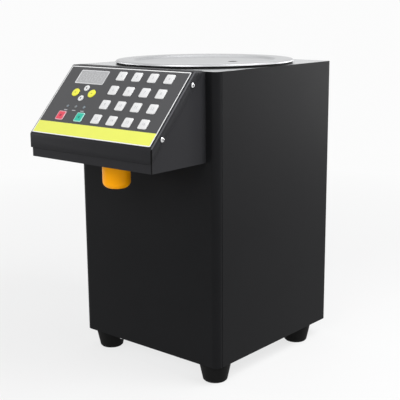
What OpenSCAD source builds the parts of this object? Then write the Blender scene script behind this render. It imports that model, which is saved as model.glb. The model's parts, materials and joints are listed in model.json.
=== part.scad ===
// Countertop fructose dispenser: a sheet steel cabinet with a round syrup tank under a
// stainless lid, a slanted key panel over a pouring hood, and a gear pump at the bottom.
// Millimetres. +Z is up and the front faces -Y. The origin is on the resting plane,
// under the middle of the outer box.

/* [Cabinet] */
// Width of the cabinet
body_w = 240; // [232:1:270]
// Depth of the cabinet, from the front panel to the rear wall
body_d = 246; // [238:1:280]
// Height of the cabinet, from the underside of its walls to the top plate's surface
body_h = 371; // [362:1:420]
// Thickness of the cabinet's steel sheet
sheet = 1.2; // [0.8:0.1:1.5]
// Outer radius of the bent front corners
corner_r = 9; // [5:0.5:9.5]
// Outer radius of the bent rear corners
rear_r = 3; // [2:0.5:8]
// How far the front panel wraps on to each side
front_wrap = 10; // [10:0.5:20]
// Open width of the seam between the front panel and the side walls
seam = 0.8; // [0.4:0.1:1.5]
// Width of the walls' inward flanges
flange_w = 12; // [11:0.5:13]
// Width of the opening behind the control box, for hose and wires
window_w = 180; // [140:1:190]
// Height of the opening behind the control box
window_h = 78; // [50:1:84]

/* [Feet] */
// Height of the rubber feet
foot_h = 24; // [18:1:30]
// Radius of a foot where it meets the cabinet
foot_top_r = 20.4; // [17:0.1:20.4]
// Radius of a foot on the ground
foot_ground_r = 15.9; // [12:0.1:17]
// From the right wall to the axis of the right feet
foot_right_in = 20.5; // [20.5:0.5:36]
// From the left wall to the axis of the left feet
foot_left_in = 29; // [20.5:0.5:38]
// From the front panel to the axis of the front feet
foot_front_in = 20.5; // [20.5:0.5:30]
// From the rear wall to the axis of the rear feet
foot_rear_in = 44; // [25:0.5:50]

/* [Tank and lid] */
// Depth of the tank below the top plate's surface
tank_depth = 250; // [200:1:252]
// Thickness of the tank's stainless sheet
tank_wall = 1; // [0.6:0.1:1.5]
// Radius between the tank's wall and its bottom
tank_round = 16; // [8:1:30]
// Outer radius of the lid
lid_r = 119.5; // [104:0.5:119.5]
// How far the lid reaches past the tank's wall
lid_overhang = 21; // [18:0.5:30]
// Height of the lid's rim over the top plate
lid_rise = 5.4; // [5:0.1:8]
// Thickness of the lid's stainless sheet
lid_sheet = 1; // [0.6:0.1:1.2]
// Depth of the dish pressed into the lid
dish_depth = 3; // [2:0.1:3.4]
// Radius of the breather hole in the lid
vent_r = 6.3; // [4:0.1:9]

/* [Control box] */
// How far the control box reaches in front of the cabinet
box_reach = 97; // [92:1:110]
// From the top plate down to the fold under the key panel
fold_drop = 80; // [76:1:86]
// From the top plate down to the control box's underside
box_drop = 109.1; // [104:0.1:116]
// How far the panel's top edge lies in front of the cabinet
crest_reach = 21; // [18:0.1:24]
// Height of the panel's top edge over the top plate
crest_rise = 1.6; // [1.6:0.1:3]
// Gap between the cover and the box inside it
cover_gap = 0.8; // [0.5:0.1:1.2]
// Width of the cover's side flange, square to the slant
cover_flange = 12; // [10:0.5:14]
// Radius of the cover screws' heads
screw_head_r = 3; // [2.4:0.1:3.4]

/* [Key panel] */
// Width of the printed panel
panel_w = 205; // [198:1:205]
// Height of the printed panel, along the slant
panel_h = 107; // [102:1:107]
// From the panel's side edges out to the cover's sides
panel_side = 3; // [2:0.5:8]
// Thickness of the printed panel
panel_t = 0.8; // [0.5:0.1:1]
// Side of a square key
key_size = 13.3; // [12:0.1:15]
// Corner radius of a square key
key_round = 1.6; // [0.8:0.1:3]
// Spacing of the dose keys across the panel
key_pitch_x = 26.4; // [24:0.1:26.6]
// Spacing of the dose keys up the panel
key_pitch_v = 22; // [20:0.1:22.4]
// Radius of the two round setting keys
round_key_r = 5.8; // [5:0.1:6.8]
// Radius of the two small arrow keys
arrow_key_r = 4.2; // [3.5:0.1:4.4]
// Travel of a key
key_travel = 0.7; // [0.4:0.1:0.8]
// How far a key stands over the panel
key_proud = 0.8; // [0.6:0.1:2]
// Gap all round a key
key_gap = 0.3; // [0.2:0.05:0.4]
// Width of the display window
display_w = 51; // [48:0.5:52]
// Height of the display window
display_h = 21.6; // [18:0.1:22]

/* [Pouring hood] */
// Outer radius of the hood
hood_r = 17.5; // [16:0.1:18.5]
// Wall of the hood
hood_wall = 2.2; // [1.6:0.1:2.6]
// Radius of the hood's pouring hole
hood_mouth_r = 8; // [7.5:0.1:9]
// How far the hood hangs below the control box
hood_drop = 35.4; // [34:0.1:44]
// From the cabinet's front down the middle of the hood
hood_reach = 49.5; // [46:0.5:54]
// Outer radius of the outlet tube inside the hood
tube_r = 4.5; // [4:0.1:4.8]
// Radius of the hood's hinge pin
pin_r = 2; // [1.5:0.1:2.4]
// Running clearance round a pin or a shaft
run_gap = 0.05; // [0.02:0.01:0.1]

/* [Pump and motor] */
// Number of teeth on each pump gear
gear_teeth = 12; // [12:1:12]
// Module of the pump gears
gear_module = 2; // [1.8:0.05:2.1]
// Width of the pump gears
gear_w = 14; // [10:0.5:15]
// Radius of the pump's two shafts
shaft_r = 4; // [3:0.1:4.5]
// Radius of the motor
motor_r = 29; // [25:0.5:31]
// Length of the motor's can
motor_len = 92; // [70:1:100]
// Outer radius of the hoses
hose_r = 6.5; // [6.2:0.1:7]
// Bore radius of the hoses
hose_bore_r = 4.6; // [4:0.1:5]

/* [Power] */
// How far the power inlet's bezel stands behind the rear wall
inlet_bezel = 4; // [3.8:0.1:6]
// Width of the power inlet's bezel
inlet_w = 31; // [30:0.5:36]
// Height of the power inlet's bezel
inlet_h = 50; // [48:0.5:58]

/* [Hidden] */
$fn = 64;
fit = 0.1;              // gap round a fixed part in its hole
plate_gap = 0.3;        // gap from the base and top plates' edges to the walls
touch_gap = 0.3;        // gap of a moving part to its stop
top_z = foot_h + body_h;
front_y = (box_reach - body_d - inlet_bezel) / 2;
rear_y = front_y + body_d;
floor_z = foot_h + sheet;                  // surface of the base plate
flange_top = floor_z + sheet;              // surface of the walls' bottom flanges
lap_w = 12;             // how far the laps run behind the side walls
lap_short = 1;          // how far a lap stays clear of the flanges at each end
window_drop = 12;       // from the top plate down to the opening behind the control box
louvre_w = 62;
louvre_h = 4;
louvre_pitch = 13;
louvre_rows = 9;
louvre_x = body_w / 2 - 68;                // middle of each column of louvres
louvre_drop = 150;      // from the top plate down to the lowest louvre
drain_slots = 7;
drain_pitch = 14;
drain_w = 5;
drain_len = 60;

// Screws
screw_r = 1.9;
base_head_r = 3.6;
base_head_h = 2.2;
base_screw_in = 6.5;
base_screw_x = 55;
foot_screw_r = 2.2;
foot_well_r = 7;
foot_well_h = 12;
foot_edge = 1.6;        // softened edge of a foot on the ground
foot_head_r = 4;
foot_head_h = 2.6;
foot_hex_r = 2.2;
foot_nut_r = 4.2;
foot_nut_h = 3.2;
foot_x = [-body_w / 2 + foot_left_in, body_w / 2 - foot_right_in];
foot_y = [front_y + foot_front_in, rear_y - foot_rear_in];
foot_spots = [for (x = foot_x, y = foot_y) [x, y]];
base_spots = [
    for (s = [-1, 1], y = [front_y + base_screw_in, rear_y - base_screw_in]) [s * base_screw_x, y],
    for (s = [-1, 1]) [s * (body_w / 2 - base_screw_in), (front_y + rear_y) / 2]
];

// Tank, gasket and lid
tank_forward = 2;       // from the middle of the cabinet forward to the tank's axis
tank_y = (front_y + rear_y) / 2 - tank_forward;
tank_z = top_z - tank_depth;
tank_r = lid_r - lid_overhang;
tank_flange_r = lid_r - 1.7;
tank_gap = 0.5;
gasket_in_r = tank_r + 1.5;
gasket_out_r = tank_flange_r - 0.5;
lid_skirt_gap = 3;
lid_z = top_z + lid_rise;
lid_edge = 2;           // outer radius where the lid turns down
dish_r = tank_r - 2.5;
dish_slope = 3.4;       // width of the slope down into the dish
gasket_z = top_z + tank_wall;
gasket_h = lid_z - lid_sheet - touch_gap - gasket_z;
vent_at = [38, 13];     // middle of the breather hole, from the lid's axis
pad_r = tank_r - 18.5;
pad_h = 3;
pad_hole_r = 16;
thermostat_at = [0.65 * pad_r, -0.25 * pad_r];
thermostat_flange = [10, 3];               // radius and height
thermostat_can = [8, 7];
thermostat_blade = [4.8, 0.8, 8];
thermostat_blade_x = 4.5;
spigot_wall = 1.2;
spigot_len = 20;
spigot_collar_r = 9;
spigot_collar_h = 5;

// Control box: the slant runs from the fold up to the crest
box_w = panel_w + 2 * panel_side;
fold_y = front_y - box_reach;
fold_z = top_z - fold_drop;
crest_y = front_y - crest_reach;
crest_z = top_z + crest_rise;
slant = atan2(crest_z - fold_z, crest_y - fold_y);
slant_len = norm([crest_y - fold_y, crest_z - fold_z]);
box_z = top_z - box_drop;
cover_rear_y = front_y - 7;
cover_steep = cover_flange / cos(slant);   // the flange's width measured straight down
box_in = sheet + cover_gap;                // the box lies this far inside the cover
box_half = box_w / 2 - box_in;
screw_depth = 7;
screw_up = [18.5, 96.7];
cover_screw_len = 8;
screw_head_h = 2.1;
screw_recess_r = 1.2;
screw_recess_h = 1;
ledge_drop = 1;         // from the top plate down to the box's top flange
box_flange = 10;        // width of the flanges that lie against the cabinet

// Key panel: positions are [across, up the slant]
panel_v = 2.2;
panel_round = 1.5;
cutout = [[-86, 20], [86, 106]];           // opening of the cover under the panel
dose_rows = 4;
dose_columns = 4;
dose_count = dose_rows * dose_columns;
dose_first = [-4.2, 97];
setting_key_at = [[-66.8, 67.4], [-37.5, 67.4]];
arrow_key_at = [[-51.7, 75.1], [-51.7, 59.2]];
command_key_at = [[-68.4, 31], [-34.6, 31]];
lamp_at = [for (k = [-1:1]) [-51.3 + 14.9 * k, 46]];
lamp_r = 1.6;
display_at = [-54.2, 92.6];
display_round = 2;
key_flange = 1;
key_flange_h = 1.8;
board_depth = 9.4;      // from the cover's face down to the board
board_t = 1.6;
board_w = panel_w - 9;
board_h = panel_h - 19;
board_v = panel_v + panel_h / 2 + 7.3;
post_at = [for (x = [-93, 93], v = [27, 99]) [x, v]];
post_r = 3;
tact_h = 3.4;
tact_side = 6;
tact_button_r = 1.7;
tact_button_h = 1.2;
board_chip = [22, 22, 3];
board_chip_at = [20, 50];
board_socket = [40, 9, 8];
board_socket_at = [28 - board_w / 2, 34];
stem_r = 1.6;
stem_gap = 0.1;         // left between a pressed key and its switch
stem_z = -board_depth + tact_h + tact_button_h + key_travel + stem_gap;
arrow_key_flange = 0.4;
display_rise = 0.2;     // how far the display window stands over the panel
window_t = 1.8;

// Pouring hood, hinged behind the outlet tube
hood_y = front_y - hood_reach;
hood_z = box_z - hood_drop;
hood_round = 8.5;
hood_top_z = box_z + 7;
hood_hole_r = hood_r + 2.4;
hood_hole_y = hood_y + 0.8;                // the hole leaves room for the hood's swing
pin_y = hood_y + 16;
pin_z = box_z + 14.5;
ear_x = 13.6;
ear_t = 3;
ear_r = 4.8;
ear_up = 1.8;           // from the box's bottom plate up to the ears
ear_root = 7;           // from the hood's axis back to the root of the ears
pin_head = [pin_r + 1, 1];                 // radius and thickness
pin_play = 0.5;
strap_x = 25;
strap_y = [hood_y - 14, pin_y + 6];
strap_z = box_z + 20.5;
strap_bridge_y = [hood_y - 11, hood_y + 8.5];
tube_end_z = hood_z + 6.5;
tube_wall = 1.2;
collar_r = 7.5;
collar_h = 5;
tube_nut_h = 4;
tube_top_z = strap_z + collar_h + 10;
coil_r = 2.8;
coil_wire_r = 0.4;
coil_turns = 6;
coil_pitch = 2;
micro_x = ear_x;
micro_size = [6.4, 10, 20];
micro_y = pin_y - 20.5;
micro_z = strap_z;
micro_blade = [0.6, 5, 3.2];
micro_blade_up = [3, 10, 17];
micro_button = [2, 1.4, 2];
micro_button_up = 9;
lever_hub_r = 0.8;
lever_pivot = [micro_y + micro_size[1] + lever_hub_r + touch_gap, micro_z + 2.6];
lever_len = 16;
lever_t = 0.5;
lever_w = 4;
lever_lean = 17;
tab_w = 5;
tab_up = 11.4;          // where the tab meets the lever, along it from its pivot
tab_off = tab_w / 2 + lever_t / 2 + touch_gap;
tab_tip = lever_pivot + [
    tab_up * sin(lever_lean) + tab_off * cos(lever_lean),
    tab_up * cos(lever_lean) - tab_off * sin(lever_lean)
];

// Pump and motor, lying along X
pump_in = 80;           // from the front panel back to the pump's shaft
pump_up = 37;           // from the base plate up to the pump's shaft
pump_y = front_y + pump_in;
pump_z = floor_z + pump_up;
gear_spread = gear_teeth * gear_module + 0.2;
gear_tip_r = (gear_teeth / 2 + 0.9) * gear_module;
gear_pitch_r = gear_teeth / 2 * gear_module;
gear_root_r = (gear_teeth / 2 - 1.25) * gear_module;
tooth_half = [10.2, 6.7, 2.7];             // half angles at root, pitch circle and tip
gear_side_gap = 0.15;
gear_tip_gap = 0.25;
bracket_t = 2;
bracket_x = -36;
bracket_half = 30;
housing_w = 52;
housing_margin = 23;    // from the gears' axes to the ends of the housing
housing_h = gear_spread + 2 * housing_margin;
housing_round = 8;
housing_wall = 9;
housing_x = bracket_x - bracket_t - housing_wall - gear_w - 2 * gear_side_gap;
housing_len = bracket_x - bracket_t - housing_x;
gear_x = housing_x + gear_side_gap;
cover_t = 6;
shaft_in = 4;
shaft_end_gap = 0.5;
idler_in = housing_wall - 2;               // depth of the idler's shaft in the housing
flat_depth = 0.8;       // the flat on the motor's shaft that drives the gear
key_fit = 0.02;
port_z = pump_z + gear_spread / 2;
port_x = gear_x + gear_w / 2;
port_bore_r = 2.8;
port_reach = 5;         // the ports' bores meet the gear chamber this far from its middle
port_collar = 3;
barb_len = 16;
barb_r = hose_bore_r - fit;
port_collar_r = barb_r + 2.4;
port_in_y = pump_y + housing_w / 2 + barb_len;
port_out_y = pump_y - housing_w / 2 - barb_len;
pump_screw_out = [20, 29];
pump_screw_at = [for (sy = [-1, 1], sz = [-1, 1])
    [pump_y + sy * pump_screw_out[0], port_z + sz * pump_screw_out[1]]];
pump_screw_head = [3.5, 3.5];              // radius and height
pump_screw_hex = [1.7, 2];
bracket_foot = 30;
bracket_over = 7;       // how far the bracket reaches over the upper screws
motor_boss_r = 11;
motor_cap = [motor_r - 4, 6];
motor_neck = 22;        // depth of the shaft's bore in the motor
clamp_w = 7;
clamp_t = 1;
clamp_fit = 0.2;
clamp_lug = [6.4, 9];
clamp_off = 3;          // from a barb's end to its clamp

// Hose routes: the ends sit on the barbs, the points between are chosen by hand
hose_sides = 10;
hose_steps = 4;
inlet_hose_route = [
    [0, tank_y, tank_z - spigot_collar_h - 0.5],
    [0, tank_y, tank_z - spigot_len - 0.5],
    [0, tank_y, tank_z - spigot_len - 9],
    [-5, tank_y + 6, tank_z - spigot_len - 19],
    [-18, tank_y + 18, port_z + 19],
    [-35, tank_y + 26, port_z + 8],
    [-48.5, port_in_y + 22, port_z + 1.5],
    [port_x, port_in_y + 9, port_z],
    [port_x, port_in_y + 0.5, port_z],
    [port_x, port_in_y - barb_len + port_collar + 0.5, port_z]
];
outlet_hose_route = [
    [port_x, port_out_y + barb_len - port_collar - 0.5, port_z],
    [port_x, port_out_y - 0.5, port_z],
    [port_x, port_out_y - 9, port_z],
    [port_x - 6, front_y + 18, port_z + 5],
    [-73, front_y + 13, port_z + 18],
    [-85, front_y + 13, port_z + 42],
    [-88, front_y + 15, 155],
    [-88, front_y + 15, 210],
    [-88, front_y + 14, 262],
    [-86, front_y + 12, box_z + 14],
    [-79, front_y + 4, box_z + 36],
    [-60, front_y - 9, box_z + 48],
    [-35, front_y - 25, box_z + 54],
    [-14, hood_y + 10, box_z + 55],
    [-3.6, hood_y + 2.6, box_z + 50.5],
    [0, hood_y, tube_top_z + 7],
    [0, hood_y, tube_top_z + 0.5],
    [0, hood_y, strap_z + collar_h + 0.5]
];

// Power supply and power inlet
supply_size = [110, 74, 36];
supply_stand = [3, 6];  // radius and height of the supply's standoffs
supply_in = 4;          // from the rear wall to the supply
supply_at = [-8, rear_y - sheet - supply_in - supply_size[1], floor_z + supply_stand[1]];
supply_slot = [4, 54, 1];
supply_slots = 9;
supply_slot_pitch = 9;
supply_slot_at = [16, 10];
supply_block = [8, 58, 14];                // the terminal block on its end
supply_block_up = 3;
stand_in = [8, 8, 18];  // the standoffs from the ends, the front and the rear
inlet_x = 45 - body_w / 2;
inlet_z = floor_z + 46;
inlet_body = [27, 44];
inlet_depth = 26;
inlet_round = 3;
socket_size = [24, 16];
socket_cut = 5;         // cut corners along the socket's upper side
socket_depth = 17;
socket_z = inlet_z - 10;
socket_blade = [2, 14, 4];
blade_at = [[-7, -2], [0, 2], [7, -2]];
rocker_z = inlet_z + 13.5;
rocker_size = [19, 11];
rocker_rise = 4.6;      // from the rocker's axis out to its raised ends
rocker_sink = 3;
rocker_waist = 3.4;
rocker_well = 15;       // depth of the rocker's well behind the bezel
rocker_lean = 10;
rocker_y = rear_y - 3;
rocker_gap = 0.3;

function dose_name(k) = str("dose_key_", k < 10 ? "0" : "", k);
function dose_at(k) = [
    dose_first[0] + key_pitch_x * ((k - 1) % dose_columns),
    dose_first[1] - key_pitch_v * floor((k - 1) / dose_columns)
];
function unit(v) = v / norm(v);
function polar(r, a) = [r * cos(a), r * sin(a)];

// A point on a smooth curve between b and c, with a and d as their neighbours
function curve(a, b, c, d, t) =
    0.5 * (2 * b + (c - a) * t + (2 * a - 5 * b + 4 * c - d) * t * t
        + (3 * b - a - 3 * c + d) * t * t * t);
function smooth(p, steps) = concat(
    [for (i = [0:len(p) - 2], k = [0:steps - 1])
        curve(p[max(i - 1, 0)], p[i], p[i + 1], p[min(i + 2, len(p) - 1)], k / steps)],
    [p[len(p) - 1]]);

// Directions along a path, and a square direction that turns with it
function headings(p) = [for (i = [0:len(p) - 1]) unit(p[min(i + 1, len(p) - 1)] - p[max(i - 1, 0)])];
function turned(n, h) = unit(n - (n * h) * h);
function squares(h) = [
    for (i = 0, n = turned([0.3, 0.9, 0.2], h[0]);
        i < len(h);
        i = i + 1, n = i < len(h) ? turned(n, h[i]) : n) n
];
function rings(p, r, sides) = let (h = headings(p), s = squares(h)) [
    for (i = [0:len(p) - 1], k = [0:sides - 1])
        p[i] + r * (cos(360 * k / sides) * s[i] + sin(360 * k / sides) * cross(h[i], s[i]))
];

// A tube along a path. With a bore it is hollow from end to end.
module tube(p, r, bore, sides) {
    n = len(p);
    hollow = bore > 0;
    points = concat(rings(p, r, sides), hollow ? rings(p, bore / cos(180 / sides), sides) : []);
    inner = n * sides;
    last = (n - 1) * sides;
    outside = [for (i = [0:n - 2], k = [0:sides - 1])
        let (a = i * sides + k, b = i * sides + (k + 1) % sides)
        each [[a, b, b + sides], [a, b + sides, a + sides]]];
    inside = [for (f = outside) [f[0] + inner, f[2] + inner, f[1] + inner]];
    first_end = [for (k = [0:sides - 1]) let (j = (k + 1) % sides)
        each [[k, k + inner, j + inner], [k, j + inner, j]]];
    last_end = [for (f = first_end) [last + f[0], last + f[2], last + f[1]]];
    caps = [[for (k = [0:sides - 1]) sides - 1 - k], [for (k = [0:sides - 1]) last + k]];
    faces = concat(outside, hollow ? concat(inside, first_end, last_end) : caps);
    polyhedron(points, [for (f = faces) [for (k = [1:len(f)]) f[len(f) - k]]]);
}

// A flat outline in Y and Z, drawn out along X
module along_x(w) {
    rotate([90, 0, 90]) linear_extrude(height = w, center = true) children();
}
module from_x(x, w) {
    translate([x + w / 2, 0, 0]) along_x(w) children();
}
module rod_x(x, y, z, r, len) {
    translate([x, y, z]) rotate([0, 90, 0]) cylinder(r = r, h = len);
}
module rod_y(x, y, z, r, len) {
    translate([x, y, z]) rotate([-90, 0, 0]) cylinder(r = r, h = len);
}
module box(low, high) {
    translate(low) cube(high - low);
}
module rounded_rect(w, h, r) {
    square([w - 2 * r, h], center = true);
    square([w, h - 2 * r], center = true);
    for (sx = [-1, 1], sy = [-1, 1])
        translate([sx * (w / 2 - r), sy * (h / 2 - r)]) circle(r);
}
// The frame of the slanted face: x across, y up the slant, z out of the face
module on_slant() {
    translate([0, fold_y, fold_z]) rotate([slant, 0, 0]) children();
}

// ---- Cabinet ----

// The cabinet's outline from above, moved in by a distance
module plan(inset) {
    half = body_w / 2 - inset;
    near = front_y + inset;
    far = rear_y - inset;
    rf = corner_r - inset;
    rr = rear_r - inset;
    translate([-half, near + rf]) square([2 * half, far - near - rf - rr]);
    translate([-half + rf, near]) square([2 * (half - rf), corner_r]);
    translate([-half + rr, far - rr - 1]) square([2 * (half - rr), rr + 1]);
    for (s = [-1, 1]) {
        translate([s * (half - rf), near + rf]) circle(rf);
        translate([s * (half - rr), far - rr]) circle(rr);
    }
}
// Walls with an inward flange at the bottom and at the top
module walls() {
    translate([0, 0, foot_h]) linear_extrude(body_h) difference() {
        plan(0);
        plan(sheet);
    }
    for (z = [floor_z, top_z - 2 * sheet])
        translate([0, 0, z]) linear_extrude(sheet) difference() {
            plan(0);
            translate([-body_w / 2 + flange_w, front_y + flange_w])
                square([body_w - 2 * flange_w, body_d - 2 * flange_w]);
        }
}
module base_screw_holes() {
    for (p = base_spots) translate([p[0], p[1], foot_h - 1]) cylinder(r = screw_r + 0.2, h = 2 * sheet + 2);
}
module front_shell() {
    color([0.13, 0.13, 0.14]) difference() {
        intersection() {
            walls();
            box([-body_w, front_y - 1, 0], [body_w, front_y + front_wrap, top_z]);
        }
        box([-window_w / 2, front_y - 1, top_z - window_drop - window_h],
            [window_w / 2, front_y + sheet + 1, top_z - window_drop]);
        base_screw_holes();
    }
}
module body_wrap() {
    lap_y = front_y + corner_r + plate_gap;
    wrap_y = front_y + front_wrap + seam;
    lap_low = flange_top + lap_short;
    lap_high = top_z - 2 * sheet - lap_short;
    color([0.13, 0.13, 0.14]) {
        difference() {
            intersection() {
                walls();
                box([-body_w, wrap_y, 0], [body_w, rear_y + 1, top_z]);
            }
            // Cooling slots and the cut-out for the power inlet in the rear wall
            for (k = [0:louvre_rows - 1], s = [-1, 1])
                translate([s * louvre_x, rear_y - sheet - 1, top_z - louvre_drop + k * louvre_pitch])
                    rotate([-90, 0, 0]) linear_extrude(sheet + 2)
                        rounded_rect(louvre_w, louvre_h, louvre_h / 2 - 0.01);
            translate([inlet_x, rear_y - sheet - 1, inlet_z])
                rotate([-90, 0, 0]) linear_extrude(sheet + 2)
                    square([inlet_body[0] + 2 * fit, inlet_body[1] + 2 * fit], center = true);
            base_screw_holes();
        }
        // Stepped laps that lie behind the front panel's returns, each welded to its side wall
        for (s = [0, 1]) mirror([s, 0, 0]) {
            box([body_w / 2 - 2 * sheet, lap_y, lap_low], [body_w / 2 - sheet, wrap_y + lap_w, lap_high]);
            box([body_w / 2 - 2 * sheet, wrap_y + seam, lap_low],
                [body_w / 2 - sheet / 2, wrap_y + lap_w, lap_high]);
        }
    }
}
module base_plate() {
    color([0.55, 0.56, 0.58]) difference() {
        translate([0, 0, foot_h]) linear_extrude(sheet) difference() {
            plan(sheet + plate_gap);
            for (k = [0:drain_slots - 1])
                translate([(k - (drain_slots - 1) / 2) * drain_pitch, tank_y])
                    rounded_rect(drain_w, drain_len, drain_w / 2 - 0.1);
        }
        base_screw_holes();
        for (p = foot_spots) translate([p[0], p[1], foot_h - 1]) cylinder(r = foot_screw_r, h = sheet + 2);
    }
}
module top_plate() {
    color([0.78, 0.79, 0.8]) difference() {
        translate([0, 0, top_z - sheet]) linear_extrude(sheet) plan(sheet + plate_gap);
        translate([0, tank_y, top_z - 2 * sheet]) cylinder(r = tank_r + tank_gap, h = 3 * sheet);
    }
}
module base_screws() {
    color("silver") for (p = base_spots) translate([p[0], p[1], foot_h]) {
        translate([0, 0, -base_head_h]) cylinder(r = base_head_r, h = base_head_h);
        cylinder(r = screw_r, h = 2 * sheet + 3);
    }
}
module feet() {
    color([0.09, 0.09, 0.09]) for (p = foot_spots) translate([p[0], p[1], 0])
        rotate_extrude() polygon([
            [foot_screw_r, foot_h], [foot_top_r, foot_h], [foot_top_r, foot_h - foot_edge],
            [foot_ground_r, foot_edge], [foot_ground_r - foot_edge, 0],
            [foot_well_r, 0], [foot_well_r, foot_well_h], [foot_screw_r, foot_well_h]
        ]);
}
module foot_screws() {
    color("silver") for (p = foot_spots) translate([p[0], p[1], foot_well_h]) {
        translate([0, 0, -foot_head_h]) difference() {
            cylinder(r = foot_head_r, h = foot_head_h);
            translate([0, 0, -foot_head_h / 2]) cylinder(r = foot_hex_r, h = foot_head_h, $fn = 6);
        }
        cylinder(r = foot_screw_r - fit, h = foot_h - foot_well_h + sheet);
        translate([0, 0, foot_h - foot_well_h + sheet]) cylinder(r = foot_nut_r, h = foot_nut_h, $fn = 6);
    }
}

// ---- Tank and lid ----

module tank() {
    // Half section of the wall, flange and bottom, with a round turn into the bottom
    low = tank_z;
    color([0.75, 0.76, 0.78]) translate([0, tank_y, 0]) difference() {
        union() {
            rotate_extrude() polygon(concat(
                [[0, low], [tank_r - tank_round, low]],
                [for (a = [-80:10:-10]) [tank_r - tank_round, low + tank_round] + polar(tank_round, a)],
                [[tank_r, low + tank_round], [tank_r, top_z], [tank_flange_r, top_z],
                 [tank_flange_r, top_z + tank_wall], [tank_r - tank_wall, top_z + tank_wall],
                 [tank_r - tank_wall, low + tank_round]],
                [for (a = [-10:-10:-80])
                    [tank_r - tank_round, low + tank_round] + polar(tank_round - tank_wall, a)],
                [[tank_r - tank_round, low + tank_wall], [0, low + tank_wall]]));
            translate([0, 0, low - spigot_len]) cylinder(r = barb_r, h = spigot_len);
            translate([0, 0, low - spigot_collar_h]) cylinder(r = spigot_collar_r, h = spigot_collar_h);
        }
        translate([0, 0, low - spigot_len - 1]) cylinder(r = barb_r - spigot_wall, h = spigot_len + 3);
    }
}
module tank_gasket() {
    color([0.1, 0.1, 0.1]) translate([0, tank_y, gasket_z]) difference() {
        cylinder(r = gasket_out_r, h = gasket_h);
        translate([0, 0, -1]) cylinder(r = gasket_in_r, h = gasket_h + 2);
    }
}
module lid() {
    rim = lid_z - lid_sheet;
    dish = lid_z - dish_depth;
    skirt = top_z + lid_skirt_gap;
    foot_of_slope = dish_r - dish_slope;
    color([0.8, 0.81, 0.82]) translate([0, tank_y, 0]) difference() {
        rotate_extrude() polygon(concat(
            [[0, dish - lid_sheet], [foot_of_slope + 0.4, dish - lid_sheet], [dish_r + 0.6, rim],
             [lid_r - lid_sheet, rim], [lid_r - lid_sheet, skirt], [lid_r, skirt]],
            [for (a = [0:15:90]) [lid_r - lid_edge, lid_z - lid_edge] + polar(lid_edge, a)],
            [[dish_r, lid_z], [foot_of_slope, dish], [0, dish]]));
        translate([vent_at[0], vent_at[1], dish - 2 * lid_sheet]) cylinder(r = vent_r, h = 4 * lid_sheet);
    }
}
module heater_pad() {
    color([0.75, 0.3, 0.12]) translate([0, tank_y, tank_z - pad_h]) difference() {
        cylinder(r = pad_r, h = pad_h);
        translate([0, 0, -1]) cylinder(r = pad_hole_r, h = pad_h + 2);
    }
}
module thermostat() {
    flange_z = -thermostat_flange[1];
    can_z = flange_z - thermostat_can[1];
    blade = thermostat_blade;
    color([0.2, 0.2, 0.22]) translate([thermostat_at[0], tank_y + thermostat_at[1], tank_z - pad_h]) {
        translate([0, 0, flange_z]) cylinder(r = thermostat_flange[0], h = thermostat_flange[1]);
        translate([0, 0, can_z]) cylinder(r = thermostat_can[0], h = thermostat_can[1]);
        for (s = [-1, 1]) translate([s * thermostat_blade_x - blade[0] / 2, -blade[1] / 2, can_z - blade[2]])
            cube([blade[0], blade[1], blade[2] + fit]);
    }
}

// ---- Pump, motor and hoses ----

module gear_outline(turn) {
    step = 360 / gear_teeth;
    radius = [gear_root_r, gear_pitch_r, gear_tip_r];
    polygon([
        for (i = [0:gear_teeth - 1], k = [0:5])
            let (level = min(k, 5 - k), side = k < 3 ? -1 : 1)
            polar(radius[level], turn + i * step + side * tooth_half[level])
    ]);
}
module drive_gear() {
    color([0.7, 0.7, 0.68]) from_x(gear_x, gear_w) translate([pump_y, pump_z]) difference() {
        gear_outline(0);
        // The bore has a flat that the motor's shaft drives
        intersection() {
            circle(shaft_r + key_fit);
            translate([-shaft_r - 1, -shaft_r - 1]) square([2 * shaft_r + 1 - flat_depth, 2 * shaft_r + 2]);
        }
    }
}
module motor_shaft() {
    start = gear_x - gear_side_gap - shaft_in;
    color([0.72, 0.73, 0.75]) difference() {
        rod_x(start, pump_y, pump_z, shaft_r, bracket_x + motor_neck - start - 1);
        box([gear_x - gear_side_gap, pump_y + shaft_r - flat_depth - key_fit, pump_z - shaft_r - 1],
            [gear_x + gear_w, pump_y + shaft_r + 1, pump_z + shaft_r + 1]);
    }
}
module idler_gear() {
    color([0.7, 0.7, 0.68]) {
        from_x(gear_x, gear_w) translate([pump_y, pump_z + gear_spread]) gear_outline(180 / gear_teeth);
        rod_x(gear_x - gear_side_gap - shaft_in, pump_y, pump_z + gear_spread, shaft_r,
            gear_w + 2 * gear_side_gap + shaft_in + idler_in);
    }
}
module housing_outline() { translate([pump_y, port_z]) rounded_rect(housing_w, housing_h, housing_round); }
module pump_housing() {
    color([0.6, 0.61, 0.63]) difference() {
        union() {
            from_x(housing_x, housing_len) housing_outline();
            rod_y(port_x, port_out_y, port_z, barb_r, port_in_y - port_out_y);
            for (y = [pump_y - housing_w / 2 - port_collar, pump_y + housing_w / 2])
                rod_y(port_x, y, port_z, port_collar_r, port_collar);
        }
        // Gear chamber, shaft bores and the two ports
        for (z = [pump_z, pump_z + gear_spread])
            rod_x(housing_x - 1, pump_y, z, gear_tip_r + gear_tip_gap, gear_w + 2 * gear_side_gap + 1);
        rod_x(housing_x, pump_y, pump_z, shaft_r + run_gap, housing_len + 1);
        rod_x(housing_x, pump_y, pump_z + gear_spread, shaft_r + run_gap,
            gear_w + 2 * gear_side_gap + idler_in + shaft_end_gap);
        rod_y(port_x, port_out_y - 1, port_z, port_bore_r, pump_y - port_reach - port_out_y + 1);
        rod_y(port_x, pump_y + port_reach, port_z, port_bore_r, port_in_y - pump_y - port_reach + 1);
        for (p = pump_screw_at) rod_x(housing_x - 1, p[0], p[1], screw_r + fit, housing_len + 2);
    }
}
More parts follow.
